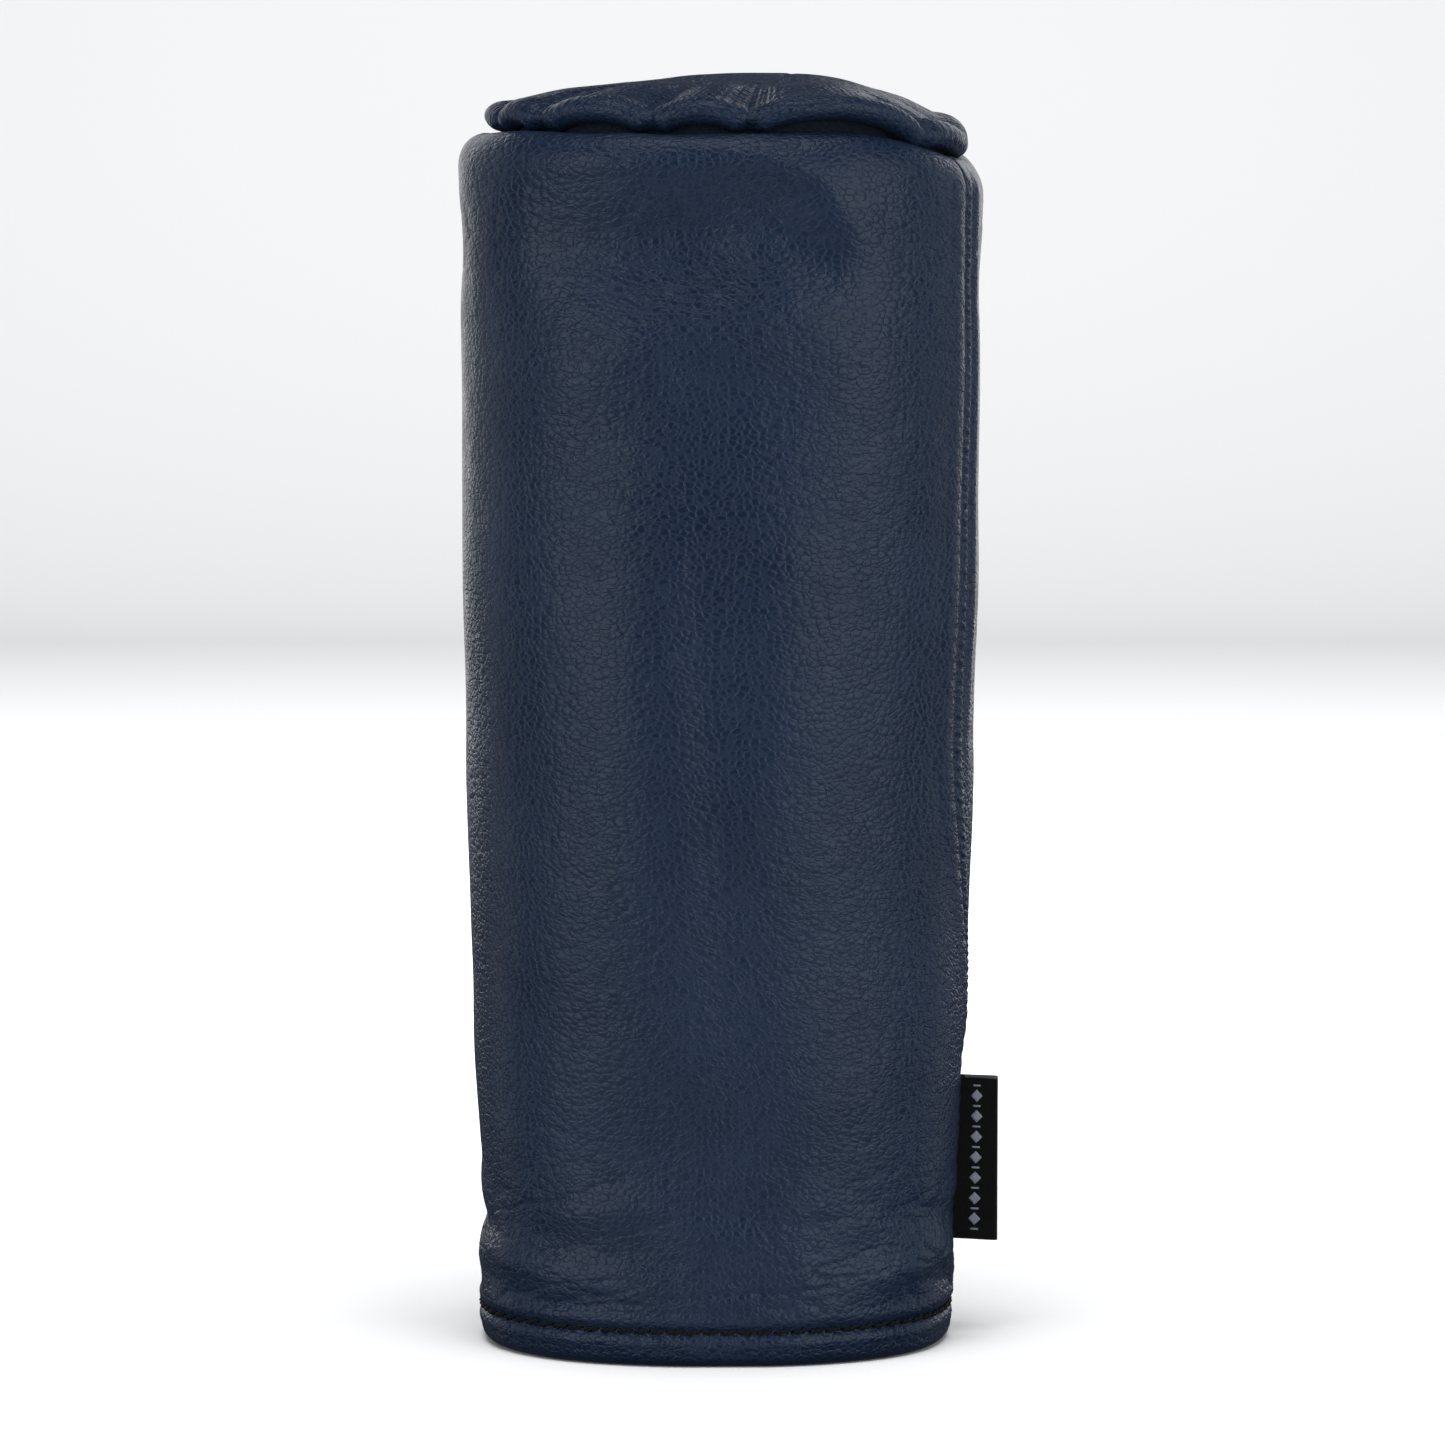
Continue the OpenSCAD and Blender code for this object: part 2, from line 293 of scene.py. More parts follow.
def relief(turn, z):
    """How far the whole wall, with every layer in it, stands out from the plain oval."""
    s = front_s(turn)
    out = np.zeros(np.broadcast(turn, z).shape)
    for at_s, at_z, half_s, half_z, tilt, height in FRONT_SWELLS + BACK_SWELLS:
        ds = around(s - at_s, 2 * np.pi * MEAN_R)
        dz = z - at_z
        c, k = math.cos(math.radians(tilt)), math.sin(math.radians(tilt))
        out += height * bell((ds * c + dz * k) / half_s) * bell((dz * c - ds * k) / half_z)
    at = ring(turn, z)
    out += 0.55 * noise(at, (42, 42, 60), 3) + 0.3 * noise(at, (20, 20, 26), 4)
    # the hem: drawn in by the elastic, swollen below it, held at the topstitch
    wave = noise(at, (26, 26, 200), 5)
    out += (0.7 + 0.9 * wave) * bell((z - 19.5 - 3 * wave) / 4.6)
    out -= (0.3 + 0.45 * wave) * bell((z - 28.5 - 5 * wave) / 5.5)
    # flat where the label lies against it
    from_seam = around(turn - seam_turn(z))
    flat = bell(from_seam / np.radians(17)) * smooth((z - 14) / 8) * smooth((80 - z) / 14)
    return out * (1 - 0.92 * flat) - 0.25 * flat


def dip(turn):
    """How far the barrel's top edge and the cap sink beside the side seam."""
    away = around(turn - np.radians(DIP_DEG))
    uneven = 0.5 * noise(ring(turn, radius=3), (1, 1, 1), 6)
    return DIP_DEPTH * bell(away / np.radians(DIP_HALF_DEG)) - 1.0 + uneven


def place(inset, z, turn):
    """The point at an inset and height on the relaxed barrel, with the wall's relief."""
    low = z - dip(turn) * smooth((z - DIP_FOOT_Z) / 50)
    r = oval(inset, z, turn) + relief(turn, z) * smooth((BARREL_H + 4 - z) / 16)
    return xyz(r * np.cos(turn), r * np.sin(turn), low)


# ---- meshes


def volume(points, faces):
    """Signed volume of a closed mesh, positive where its faces point outwards."""
    total = 0.0
    for size in {len(f) for f in faces}:
        corner = points[np.array([f for f in faces if len(f) == size])]
        for k in range(1, size - 1):
            total += np.einsum("ij,ij->", corner[:, 0], np.cross(corner[:, k], corner[:, k + 1])) / 6
    return total


def put(name, data):
    """An object in the scene that shows some data."""
    thing = bpy.data.objects.new(name, data)
    bpy.context.scene.collection.objects.link(thing)
    return thing


def make_mesh(name, points, faces, grain):
    """An object of closed, outward-facing, smooth faces, with its grain coordinates in millimetres."""
    points = np.asarray(points, float).reshape(-1, 3)
    if volume(points, faces) < 0:
        faces = [f[::-1] for f in faces]
    mesh = bpy.data.meshes.new(name)
    mesh.from_pydata((points * MM).tolist(), [], faces)
    mesh.polygons.foreach_set("use_smooth", np.ones(len(mesh.polygons), bool))
    layer = mesh.attributes.new("grain", "FLOAT_VECTOR", "POINT")
    layer.data.foreach_set("vector", np.asarray(grain, np.float32).ravel())
    mesh.update()
    return put(name, mesh)


def paint_ditch_shade(piece, shares):
    """Marks how far each point lies in the ditch under the cap's lip, where the leather's colour is darkened
    as painted shade.
    """
    layer = piece.data.attributes.new("ditch_shade", "FLOAT", "POINT")
    layer.data.foreach_set("value", np.asarray(shares, np.float32).ravel())


def quads(rows, columns, closed, flip=False, start=0):
    """Faces of a grid whose points run column by column inside each row."""
    i, j = np.meshgrid(np.arange(rows - 1), np.arange(columns if closed else columns - 1), indexing="ij")
    k = (j + 1) % columns
    corners = [i * columns + j, i * columns + k, (i + 1) * columns + k, (i + 1) * columns + j]
    faces = np.stack(corners[::-1] if flip else corners, -1).reshape(-1, 4) + start
    return faces.tolist()


def dress(piece, body, slot, material, *nodes):
    """Gives a piece its material, hides the CAD nodes it stands for and puts it on the body it rides on."""
    piece.data.materials.append(material)
    if nodes:
        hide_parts(*nodes)
    if body:
        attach(piece, body)
    return piece


# ---- materials


class Nodes:
    """Short names for the nodes of one procedural material."""

    def __init__(self, name, **settings):
        self.material = bpy.data.materials.new(name)
        self.material.use_nodes = True
        self.tree = self.material.node_tree
        self.shader = self.tree.nodes["Principled BSDF"]
        for socket, value in settings.items():
            self.shader.inputs[socket.replace("_", " ")].default_value = value

    def add(self, kind, inputs=None, **properties):
        node = self.tree.nodes.new("ShaderNode" + kind)
        for name, value in properties.items():
            setattr(node, name, value)
        for socket, value in (inputs or {}).items():
            if isinstance(value, bpy.types.NodeSocket):
                self.tree.links.new(value, node.inputs[socket])
            else:
                node.inputs[socket].default_value = value
        return node

    def math(self, operation, a, b=0.0, c=0.0):
        node = self.add("Math", {0: a, 1: b, 2: c}, operation=operation)
        return node.outputs[0]

    def step(self, value, low, high, out_low=0.0, out_high=1.0):
        inputs = {0: value, 1: low, 2: high, 3: out_low, 4: out_high}
        return self.add("MapRange", inputs, interpolation_type="SMOOTHSTEP").outputs[0]

    def mix(self, share, a, b):
        node = self.add("Mix", data_type="RGBA")
        for socket, value in ((node.inputs[0], share), (node.inputs[6], a), (node.inputs[7], b)):
            if isinstance(value, bpy.types.NodeSocket):
                self.tree.links.new(value, socket)
            else:
                socket.default_value = value
        return node.outputs[2]

    def grain(self, scale=(1, 1, 1)):
        vector = self.add("Attribute", attribute_name="grain").outputs["Vector"]
        return self.add("Mapping", {"Vector": vector, "Scale": scale}).outputs[0]

    def wave(self, x_rate, y_rate):
        """A sine across the grain, in radians for each unit of its x and its y."""
        split = self.add("SeparateXYZ", {0: self.grain()})
        along = self.math("MULTIPLY", split.outputs[0], x_rate)
        return self.math("SINE", self.math("MULTIPLY_ADD", split.outputs[1], y_rate, along))

    def noise(self, vector, scale, detail=2.0, rough=0.5):
        inputs = {"Vector": vector, "Scale": scale, "Detail": detail, "Roughness": rough}
        return self.add("TexNoise", inputs).outputs[0]

    def cells(self, vector, scale, feature="DISTANCE_TO_EDGE", uneven=1.0):
        inputs = {"Vector": vector, "Scale": scale, "Randomness": uneven}
        return self.add("TexVoronoi", inputs, feature=feature).outputs["Distance"]

    def warped(self, vector, scale, amount):
        wobble = self.add("TexNoise", {"Vector": vector, "Scale": scale, "Detail": 1.0}).outputs["Color"]
        centred = self.add("VectorMath", {0: wobble, 1: (0.5, 0.5, 0.5)}, operation="SUBTRACT").outputs[0]
        moved = self.add("VectorMath", {0: centred, 3: amount}, operation="SCALE").outputs[0]
        return self.add("VectorMath", {0: vector, 1: moved}, operation="ADD").outputs[0]

    def bump(self, height, distance, strength=1.0, normal=None):
        inputs = {"Height": height, "Distance": distance, "Strength": strength}
        if normal is not None:
            inputs["Normal"] = normal
        return self.add("Bump", inputs).outputs[0]

    def link(self, output, socket):
        self.tree.links.new(output, self.shader.inputs[socket])

    def done(self, base, normal):
        self.link(base, "Base Color")
        self.link(normal, "Normal")
        return self.material


def colour(r, g, b):
    """A linear RGBA colour from sRGB values of 0 to 255."""
    linear = [((c / 255 + 0.055) / 1.055) ** 2.4 if c > 10 else c / 255 / 12.92 for c in (r, g, b)]
    return (*linear, 1.0)


def leather_material():
    m = Nodes("navy_leather", IOR=1.5, Specular_IOR_Level=0.36, Sheen_Weight=0.02, Sheen_Roughness=0.4)
    m.shader.inputs["Sheen Tint"].default_value = (0.62, 0.6, 0.95, 1)
    at = m.grain()
    # domed pebbles a little wider than they are high
    laid = m.warped(m.grain((0.7, 1.0, 1.0)), 0.5, 0.55)
    reach = m.cells(laid, 0.72, "F1", 0.85)
    pebble = m.math("SUBTRACT", 1.0, m.math("MULTIPLY", reach, reach))
    valley = m.step(m.cells(laid, 0.72, uneven=0.85), 0.0, 0.2)
    # patches where the skin creases into wider cells that run round the barrel
    crease = m.step(m.cells(m.warped(m.grain((0.5, 1.0, 1.0)), 0.25, 1.6), 0.42), 0.0, 0.12)
    patch = m.step(m.noise(m.grain((0.7, 0.3, 0.6)), 0.045, 2.0), 0.4, 0.62)
    depth = m.math("MULTIPLY", m.math("SUBTRACT", 1.0, crease), patch)
    micro = m.noise(at, 2.6, 3.0, 0.6)
    height = m.math("MULTIPLY_ADD", pebble, 1.1, m.math("MULTIPLY", valley, 0.5))
    height = m.math("MULTIPLY_ADD", depth, -0.8, height)
    height = m.math("MULTIPLY_ADD", micro, 0.12, height)
    swell = m.bump(m.noise(m.grain((0.8, 1.0, 1.0)), 0.24, 2.0), 0.0005, 0.5)
    m.link(m.bump(height, 0.00013, 1.0, swell), "Normal")
    tone = m.noise(at, 0.03, 3.0, 0.6)
    skin = m.mix(m.step(tone, 0.3, 0.7), colour(24, 43, 71), colour(31, 51, 80))
    groove = m.math("SUBTRACT", 1.0, m.math("MULTIPLY", valley, m.math("SUBTRACT", 1.0, depth)))
    skin = m.mix(m.math("MULTIPLY", groove, 0.22), skin, colour(66, 86, 114))
    # painted shade: the base colour is darkened to near-black navy in the ditch under the cap's lip, where
    # the lip's shadow falls; the same mask also raises the roughness there
    ditch_shade = m.add("Attribute", attribute_name="ditch_shade").outputs["Fac"]
    m.link(m.mix(m.math("MULTIPLY", ditch_shade, 0.8), skin, colour(8, 15, 30)), "Base Color")
    worn = m.step(m.noise(at, 0.11, 2.0), 0.35, 0.65, 0.32, 0.25)
    worn = m.math("MULTIPLY_ADD", ditch_shade, 0.5, worn)
    m.link(m.math("MULTIPLY_ADD", groove, 0.08, worn), "Roughness")
    return m.material


def suede_material():
    m = Nodes("leather_flesh_side", Roughness=0.9, Sheen_Weight=0.4)
    at = m.grain()
    fibre = m.noise(at, 3.0, 5.0, 0.7)
    return m.done(m.mix(fibre, colour(52, 60, 76), colour(84, 92, 108)), m.bump(fibre, 0.0003))


def fleece_material():
    m = Nodes("fleece", Roughness=0.95, Sheen_Weight=0.8, Sheen_Roughness=0.6)
    at = m.warped(m.grain(), 0.5, 1.4)
    tufts = m.cells(at, 0.55, "SMOOTH_F1")
    fibre = m.noise(at, 3.5, 6.0, 0.75)
    shade = m.mix(m.math("MULTIPLY", tufts, 1.3), colour(64, 66, 74), colour(34, 36, 42))
    height = m.math("SUBTRACT", m.math("MULTIPLY", fibre, 0.5), tufts)
    return m.done(shade, m.bump(height, 0.0012))


def foam_material():
    m = Nodes("foam", Roughness=0.9)
    at = m.grain()
    pores = m.step(m.cells(at, 1.4, "F1"), 0.05, 0.35)
    return m.done(m.mix(pores, colour(120, 118, 108), colour(196, 194, 182)), m.bump(pores, 0.0003))


def elastic_material():
    m = Nodes("elastic", Roughness=0.75)
    height = m.math("MULTIPLY_ADD", m.wave(6.0, 0), 0.4, m.wave(0, 3.4))
    shade = m.mix(m.step(height, -1.2, 1.2), colour(20, 20, 24), colour(52, 52, 58))
    return m.done(shade, m.bump(height, 0.00025))


def ribbon_material():
    """Black satin with a diagonal twill. The grain runs in ribbon millimetres."""
    m = Nodes("label_satin", Specular_IOR_Level=0.22, Sheen_Weight=0.05)
    height = m.math("MULTIPLY_ADD", m.wave(0, 26.0), 0.45, m.wave(14.0, 10.5))
    m.link(m.step(height, -1.0, 1.0, 0.6, 0.38), "Roughness")
    shade = m.mix(m.step(height, -1.3, 1.4), colour(5, 5, 7), colour(17, 16, 20))
    return m.done(shade, m.bump(height, 0.00006))


def pale_weave_material(name, light, dark):
    """Pale threads lying in short slanted floats."""
    m = Nodes(name, Roughness=0.6, Sheen_Weight=0.3)
    floats = m.wave(15.0, 9.0)
    return m.done(m.mix(m.step(floats, -0.9, 0.3), dark, light), m.bump(floats, 0.00007))


def thread_material():
    """Twisted thread. The grain runs along it in x and round it in y, in turns."""
    m = Nodes("thread", Roughness=0.5, Specular_IOR_Level=0.3, Sheen_Weight=0.06)
    ply = m.wave(5.5, 18.85)
    return m.done(m.mix(m.step(ply, -1.0, 1.0), colour(5, 6, 8), colour(19, 21, 28)), m.bump(ply, 0.00012))


NAVY = leather_material()
SUEDE = suede_material()
FLEECE = fleece_material()
FOAM = foam_material()
ELASTIC = elastic_material()
SATIN = ribbon_material()
PALE = pale_weave_material("label_marks", colour(222, 228, 245), colour(150, 156, 180))
PALE_BACK = pale_weave_material("label_reverse", colour(186, 192, 212), colour(50, 50, 60))
THREAD = thread_material()

# ---- the barrel's leather


def girth(inset, z, count=1440):
    """Column angles round the barrel and the length from the side seam to each."""
    angle = np.linspace(0, 2 * np.pi, count + 1)
    points = place(inset + 0 * angle, z + 0 * angle, angle + seam_turn(z))
    return angle, travelled(points)


def stitch_count(inset, z, angle, pitch=STITCH):
    """Stitches from the side seam to an angle, scaled so that a whole number goes round."""
    at, length = girth(inset, z)
    total = round(length[-1] / pitch)
    return np.interp(angle, at, length * total / length[-1]), total


def seam_columns():
    """Angle from the seam and depth of the turned edge, for each column of the wrap."""
    quarter = np.linspace(np.pi / 2, 0, 7)
    across = np.concatenate([[0.03], EDGE_R * (1 - np.sin(quarter[1:])) + 0.03])
    depth = np.concatenate([[EDGE_DEPTH], EDGE_R * (1 - np.cos(quarter[1:]))])
    curl = np.argsort(across)
    near = np.arange(EDGE_R + 0.4, SEAM_ZONE, 0.4)
    count = int((2 * np.pi * MEAN_R - 2 * SEAM_ZONE) / COLUMN)
    middle = np.linspace(SEAM_ZONE, 2 * np.pi * MEAN_R - SEAM_ZONE, count)
    side = np.concatenate([across[curl], near])
    deep = np.concatenate([depth[curl], 0 * near])
    angle = np.concatenate([side, middle, 2 * np.pi * MEAN_R - side[::-1]]) / MEAN_R
    return angle, np.concatenate([deep, 0 * middle, deep[::-1]])


def wrap_path():
    """The grain side, from the facing's raw edge down round the hem and up to the cap seam."""
    roll_foot = BARREL_H - ROLL_H
    return joined(
        line((FACING_INSET, FACING_H), (FACING_INSET, 1.65), 1.4),
        arc(FACING_INSET - 1.65, 1.65, 1.65, 1.65, 0, -90, 5),
        arc(HEM_ROUND, HEM_ROUND, HEM_ROUND, HEM_ROUND, -90, -180, 7),
        line((0, HEM_ROUND), (0, roll_foot), ROW),
        arc(ROLL_W, roll_foot, ROLL_W, ROLL_H, 180, 90, 20),
        arc(ROLL_W, BARREL_H - DITCH_R, DITCH_R, DITCH_R, 90, 0, 7),
        line((ROLL_W + DITCH_R, BARREL_H - DITCH_R), (ROLL_W + DITCH_R, SEAM_FOOT), 1.0),
    )


def hem_creases(point, s, z):
    """Folds of the skin where the elastic gathers the hem."""
    band = smooth((z - 10) / 3.5) * smooth((56 - z) / 26)
    gathered = smooth((z - 11) / 4) * smooth((40 - z) / 12)
    tilted = point + xyz(0, 0, 0.17 * s + 1.6 * noise(point, (17, 17, 12), 16))
    bowed = point - xyz(0, 0, 0.11 * s + 1.5 * noise(point, (21, 21, 14), 17))
    patches = smooth(0.45 + 1.2 * noise(point, (30, 30, 14), 15))
    folds = 0.36 * creases(tilted, (30, 30, 8), 11, 0.08) * patches
    folds += 0.42 * creases(bowed, (34, 34, 9.5), 12, 0.06)
    crinkle = 0.18 * creases(tilted, (10, 10, 3.4), 13, 0.12)
    crinkle += 0.12 * creases(bowed, (6.5, 6.5, 2.4), 18, 0.15)
    puff = 0.62 * noise(tilted, (19, 19, 7.5), 14) + 0.2 * noise(bowed, (9, 9, 4.5), 19)
    return band * (puff - folds) - gathered * crinkle * patches


def wall_creases(point, s, z):
    """Shallow pull lines over the rest of the wall."""
    band = smooth((z - 30) / 30) * smooth((BARREL_H - 2 - z) / 20)
    tilted = point + xyz(0, 0, 0.22 * s)
    soft = creases(tilted, (46, 46, 26), 21, 0.09) * smooth(0.2 + noise(point, (60, 60, 50), 22))
    upper = bell((z - 266) / 16) * creases(point, (34, 34, 9), 23, 0.12)
    return -band * (0.14 * soft + 0.22 * upper)


def stitch_groove(count, z):
    """The topstitch lies in a groove, with a dimple at each hole and a swell either side."""
    hole = np.cos(np.pi * count) ** 16
    shoulder = bell((z - TOPSTITCH_Z - 2.8) / 1.4) + bell((z - TOPSTITCH_Z + 2.9) / 1.5)
    groove = bell((z - TOPSTITCH_Z) / 1.1)
    return 0.4 * shoulder - 0.85 * groove - 0.45 * bell((z - TOPSTITCH_Z) / 1.2) * hole


def rim_tucks(turn, inset, z):
    """Short tucks that the cap seam draws in the rolled top edge."""
    near = smooth((z - BARREL_H + 9) / 8) * smooth((inset - 1) / 4.5)
    at = ring(turn)
    phase = turn * MEAN_R / 2.6 + 1.6 * noise(at, (9, 9, 9), 31)
    depth = 0.5 + 0.5 * noise(at, (12, 12, 12), 32)
    return near * (0.5 * noise(at, (15, 15, 15), 33) - 0.28 * depth * (1 - np.abs(np.cos(np.pi * phase))))


def seam_relief(angle, z):
    """Puckers and stitch holes beside the side seam, and the turned allowance's ridge under the skin."""
    after = angle * MEAN_R
    before = (2 * np.pi - angle) * MEAN_R
    count = z / STITCH
    strip = smooth(after / 1.2) * smooth((5.2 - after) / 2.6)
    wave = np.abs(np.cos(np.pi * (2 * count + 0.22 * after + 0.25 * np.sin(z / 7.7))))
    holes = bell((count - np.round(count)) / 0.13) * bell((after - 1.7) / 0.7)
    gather = 0.45 + 0.55 * smooth((z - 60) / 40)
    puckers = strip * (0.55 * (wave - 0.6) * gather) - 0.7 * holes * gather
    ridge = smooth((z - 120) / 60) * (0.6 * bell((after - 8.6) / 2.3) - 0.5 * bell((after - 5.4) / 1.6))
    shoulder = 0.6 * bell((before - 3.6) / 3.2) + 0.3 * bell((after - 2.6) / 1.6)
    shoulder = shoulder * (0.15 + 0.85 * smooth((z - 66) / 14))
    small = 0.22 * bell((before - 2.5) / 2.4) * (np.abs(np.cos(np.pi * (count + 0.2))) - 0.5)
    return puckers + ridge + shoulder + small


def body_wrap():
    angle, deep = seam_columns()
    path = wrap_path()
    normal = path_normal(path)
    inset = path[:, :1] + 0 * angle
    z = path[:, 1:] + 0 * angle
    turn = angle + seam_turn(z)
    along = travelled(path)[:, None]
    outside = smooth((along - FACING_H - 3) / 5)
    s = front_s(turn)
    flat = place(inset, z, turn)
    count, _ = stitch_count(0, TOPSTITCH_Z, angle)
    lift = hem_creases(flat, s, z) + wall_creases(flat, s, z) + stitch_groove(count, z)
    lift += rim_tucks(turn, inset, z) + seam_relief(angle[None, :], z) * smooth((BARREL_H - 1 - z) / 9)
    turned_in = 0.3 + 0.7 * smooth((along - FACING_H - 10) / 8)
    lift = lift * outside - deep * turned_in
    grain = place(inset + lift * normal[:, :1], z + lift * normal[:, 1:], turn)
    # the flesh side, on fewer rows and columns, turned in beside the seam
    rows, columns = z.shape
    curled = int(np.searchsorted(angle * MEAN_R, LEATHER + 0.2))
    i = np.unique(np.append(np.arange(0, rows, 3), rows - 1))
    ends = [0, columns - 1 - curled, columns - 1]
    j = np.unique(np.concatenate([np.arange(curled, columns - curled, 3), ends]))
    edge = (LEATHER + 0.02) / MEAN_R
    back_angle = np.clip(angle[j], edge, 2 * np.pi - edge)
    back_deep = np.maximum(LEATHER, deep[j] * turned_in[i])
    back_z = path[i, 1:] - back_deep * normal[i, 1:]
    back_inset = path[i, :1] - back_deep * normal[i, :1]
    flesh = place(back_inset, back_z, back_angle + seam_turn(back_z))
    grid_faces = quads(rows, columns, False)
    start = rows * columns
    back_faces = quads(len(i), len(j), False, True, start)
    rim = edge_strip(
        boundary(np.arange(rows), np.arange(columns), columns, 0),
        boundary(i, j, columns, 0),
        boundary(np.arange(len(i)), np.arange(len(j)), len(j), start),
    )
    measured = xyz(angle * MEAN_R, along, 0.0)
    piece = make_mesh(
        "body_wrap_leather",
        stacked(grain, flesh),
        grid_faces + back_faces + rim,
        stacked(measured, measured[np.ix_(i, j)]),
    )
    dress(piece, "cover", "navy_leather", NAVY, "body_wrap")
    # painted shade: how far each point lies in the ditch under the cap's lip, where the leather's colour is
    # darkened
    ditch_shade = smooth((inset - 5.2) / 2.2) * smooth((z - BARREL_H + ROLL_H) / 2)
    paint_ditch_shade(piece, np.concatenate([ditch_shade.ravel(), ditch_shade[np.ix_(i, j)].ravel()]))
    piece.data.materials.append(SUEDE)
    is_flesh = np.arange(len(piece.data.polygons)) >= len(grid_faces)
    piece.data.polygons.foreach_set("material_index", is_flesh.astype(np.int32))
    return piece


def boundary(i, j, columns, start):
    """The point numbers round the edge of a grid, from its first corner along its first row."""
    bottom = [(i[0], c) for c in j]
    right = [(r, j[-1]) for r in i[1:]]
    top = [(i[-1], c) for c in j[::-1][1:]]
    left = [(r, j[0]) for r in i[::-1][1:-1]]
    return [int(start + r * columns + c) for r, c in bottom + right + top + left]


def edge_strip(fine, shared, coarse):
    """Faces that join a fine edge to a coarse one. The shared points are the fine ones above the coarse."""
    at = {point: k for k, point in enumerate(fine)}
    faces = []
    for k, first in enumerate(coarse):
        a, b = at[shared[k]], at[shared[(k + 1) % len(coarse)]]
        if b <= a:
            b += len(fine)
        run = [fine[q % len(fine)] for q in range(a, b + 1)]
        faces.append(run[::-1] + [first, coarse[(k + 1) % len(coarse)]])
    return faces


def plies(rows, columns, start=0):
    """Faces of a thin sheet: its front, its back, whose points follow the front's, and its edges."""
    n = rows * columns
    rim = boundary(np.arange(rows), np.arange(columns), columns, start)
    faces = quads(rows, columns, False, False, start) + quads(rows, columns, False, True, start + n)
    return faces, [[b, a, a + n, b + n] for a, b in zip(rim, rim[1:] + rim[:1])]


# ---- the cap


def arch_lift(turn):
    """How far the cap's rolled edge stands off the barrel's rim."""
    total = 0 * turn
    for centre, half, height in ARCHES:
        away = around(np.degrees(turn) - centre, 360)
        total = np.maximum(total, height * np.clip(1 - (away / half) ** 2, 0, 1) ** 0.7)
    return total


def tuck_lines(turn):
    """How near a turn is to a place where the cap is held down, and the signed distance in degrees."""
    ends = sorted((c - h, c + h) for c, h, _ in ARCHES)
    near, pinch = 0 * turn, 0 * turn
    for k, (_, end) in enumerate(ends):
        begin = ends[(k + 1) % len(ends)][0] + (360 if k + 1 == len(ends) else 0)
        away = around(np.degrees(turn) - (end + begin) / 2, 360)
        near = np.maximum(near, bell(away / 2.2))
        pinch = np.maximum(pinch, bell(away / 6.5))
    return near, pinch


def dome(share):
    return TOTAL_H - 1.1 - CAP_RISE * share**1.6 - CAP_BROW * smooth((share - 0.72) / 0.28)


def cap_meridian(turn):
    """Insets, heights and shares of the radius from the cap seam's foot to the centre, for each turn."""
    lift = arch_lift(turn)
    fold = bell(around(np.degrees(turn) + 36, 360) / 5.5)
    low = BARREL_H + 0.15 + lift - 1.6 * fold
    high = dome(0.95) - 0.6 + 0.7 * lift - 0.6 * fold
    half_z = (high - low) / 2
    half_x = CAP_LIP + 0.12 * lift + 0.6 * fold
    middle = CAP_INSET + CAP_LIP - 1.6 * np.cos(turn)
    seam = ROLL_W + DITCH_R + 0.1 + 0.25 * lift
    rows = [(seam, z + 0 * lift, 1.0) for z in np.linspace(SEAM_FOOT, BARREL_H - 2.5, 5)]
    for t in np.linspace(0.15, 1, 7):
        # a curve from the ditch out to the underside of the roll
        u = 1 - t
        x = seam * (u**3 + 3 * u * u * t) + (middle + 0.9) * 3 * u * t * t + middle * t**3
        z = u**3 * (BARREL_H - 2.5) + 3 * u * u * t * (BARREL_H - 0.5 + 0.8 * lift)
        z = z + (3 * u * t * t + t**3) * low
        rows.append((x, z, 1.0))
    for theta in np.radians(np.linspace(262, 98, 22)):
        rows.append((middle + half_x * np.cos(theta), (low + high) / 2 + half_z * np.sin(theta), 1.0))
    edge = middle + 0.5
    for share in np.concatenate([[0.975, 0.95, 0.925, 0.9], np.linspace(0.87, 0.03, 36)]):
        fade = smooth((share - 0.5) / 0.48)
        height = dome(0.96 * share) + (high - dome(0.95)) * fade
        rows.append((edge + 0 * lift, height, share))
    return [np.stack([np.broadcast_to(row[k], turn.shape) for row in rows]) for k in range(3)]


def cap_point(inset, z, share, turn):
    r = oval(inset, np.full_like(z, BARREL_H), turn) * share
    rim = smooth((share - 0.2) / 0.8)
    out = 0.16 * relief(turn, BARREL_H) * rim
    shift = 8 * (1 - share**2)
    low = z - dip(turn) * rim**2
    return xyz((r + out) * np.cos(turn) + shift, (r + out) * np.sin(turn), low)


def cap_surface(turn, extra=0.0):
    inset, z, share = cap_meridian(turn)
    path = np.stack([-inset + 58 * share - 58, z], -1)
    step = np.gradient(path, axis=0)
    step /= np.linalg.norm(step, axis=-1)[..., None] + 1e-9
    normal_out, normal_up = step[..., 1], -step[..., 0]
    row = np.arange(len(inset))[:, None]
    on_roll = smooth((row - 8) / 8) * smooth((share - 0.62) / 0.36)
    tuck, pinch = tuck_lines(turn)
    flat = cap_point(inset, z, share, turn)
    at = ring(turn)
    phase = turn * MEAN_R / 2.3 + 1.4 * noise(at, (8, 8, 8), 41)
    fine = (1 - np.abs(np.cos(np.pi * phase))) * (0.35 + 0.65 * pinch)
    lift = -on_roll * (1.15 * tuck + 0.25 * fine - 0.35 * (1 - pinch))
    skin = 0.5 * noise(flat, (22, 22, 22), 42) + 0.15 * noise(flat, (8, 8, 8), 43)
    skin = skin - 0.22 * creases(flat, (26, 26, 26), 44, 0.07)
    lift = lift + (1 - on_roll) * smooth((row - 30) / 10) * skin * smooth(share / 0.2) + extra
    return cap_point(inset - lift * normal_out, z + lift * normal_up, share, turn), share


def fan(first, columns, centre):
    """Triangles from a ring of points to the point at its centre."""
    return [[first + k, first + (k + 1) % columns, centre] for k in range(columns)]


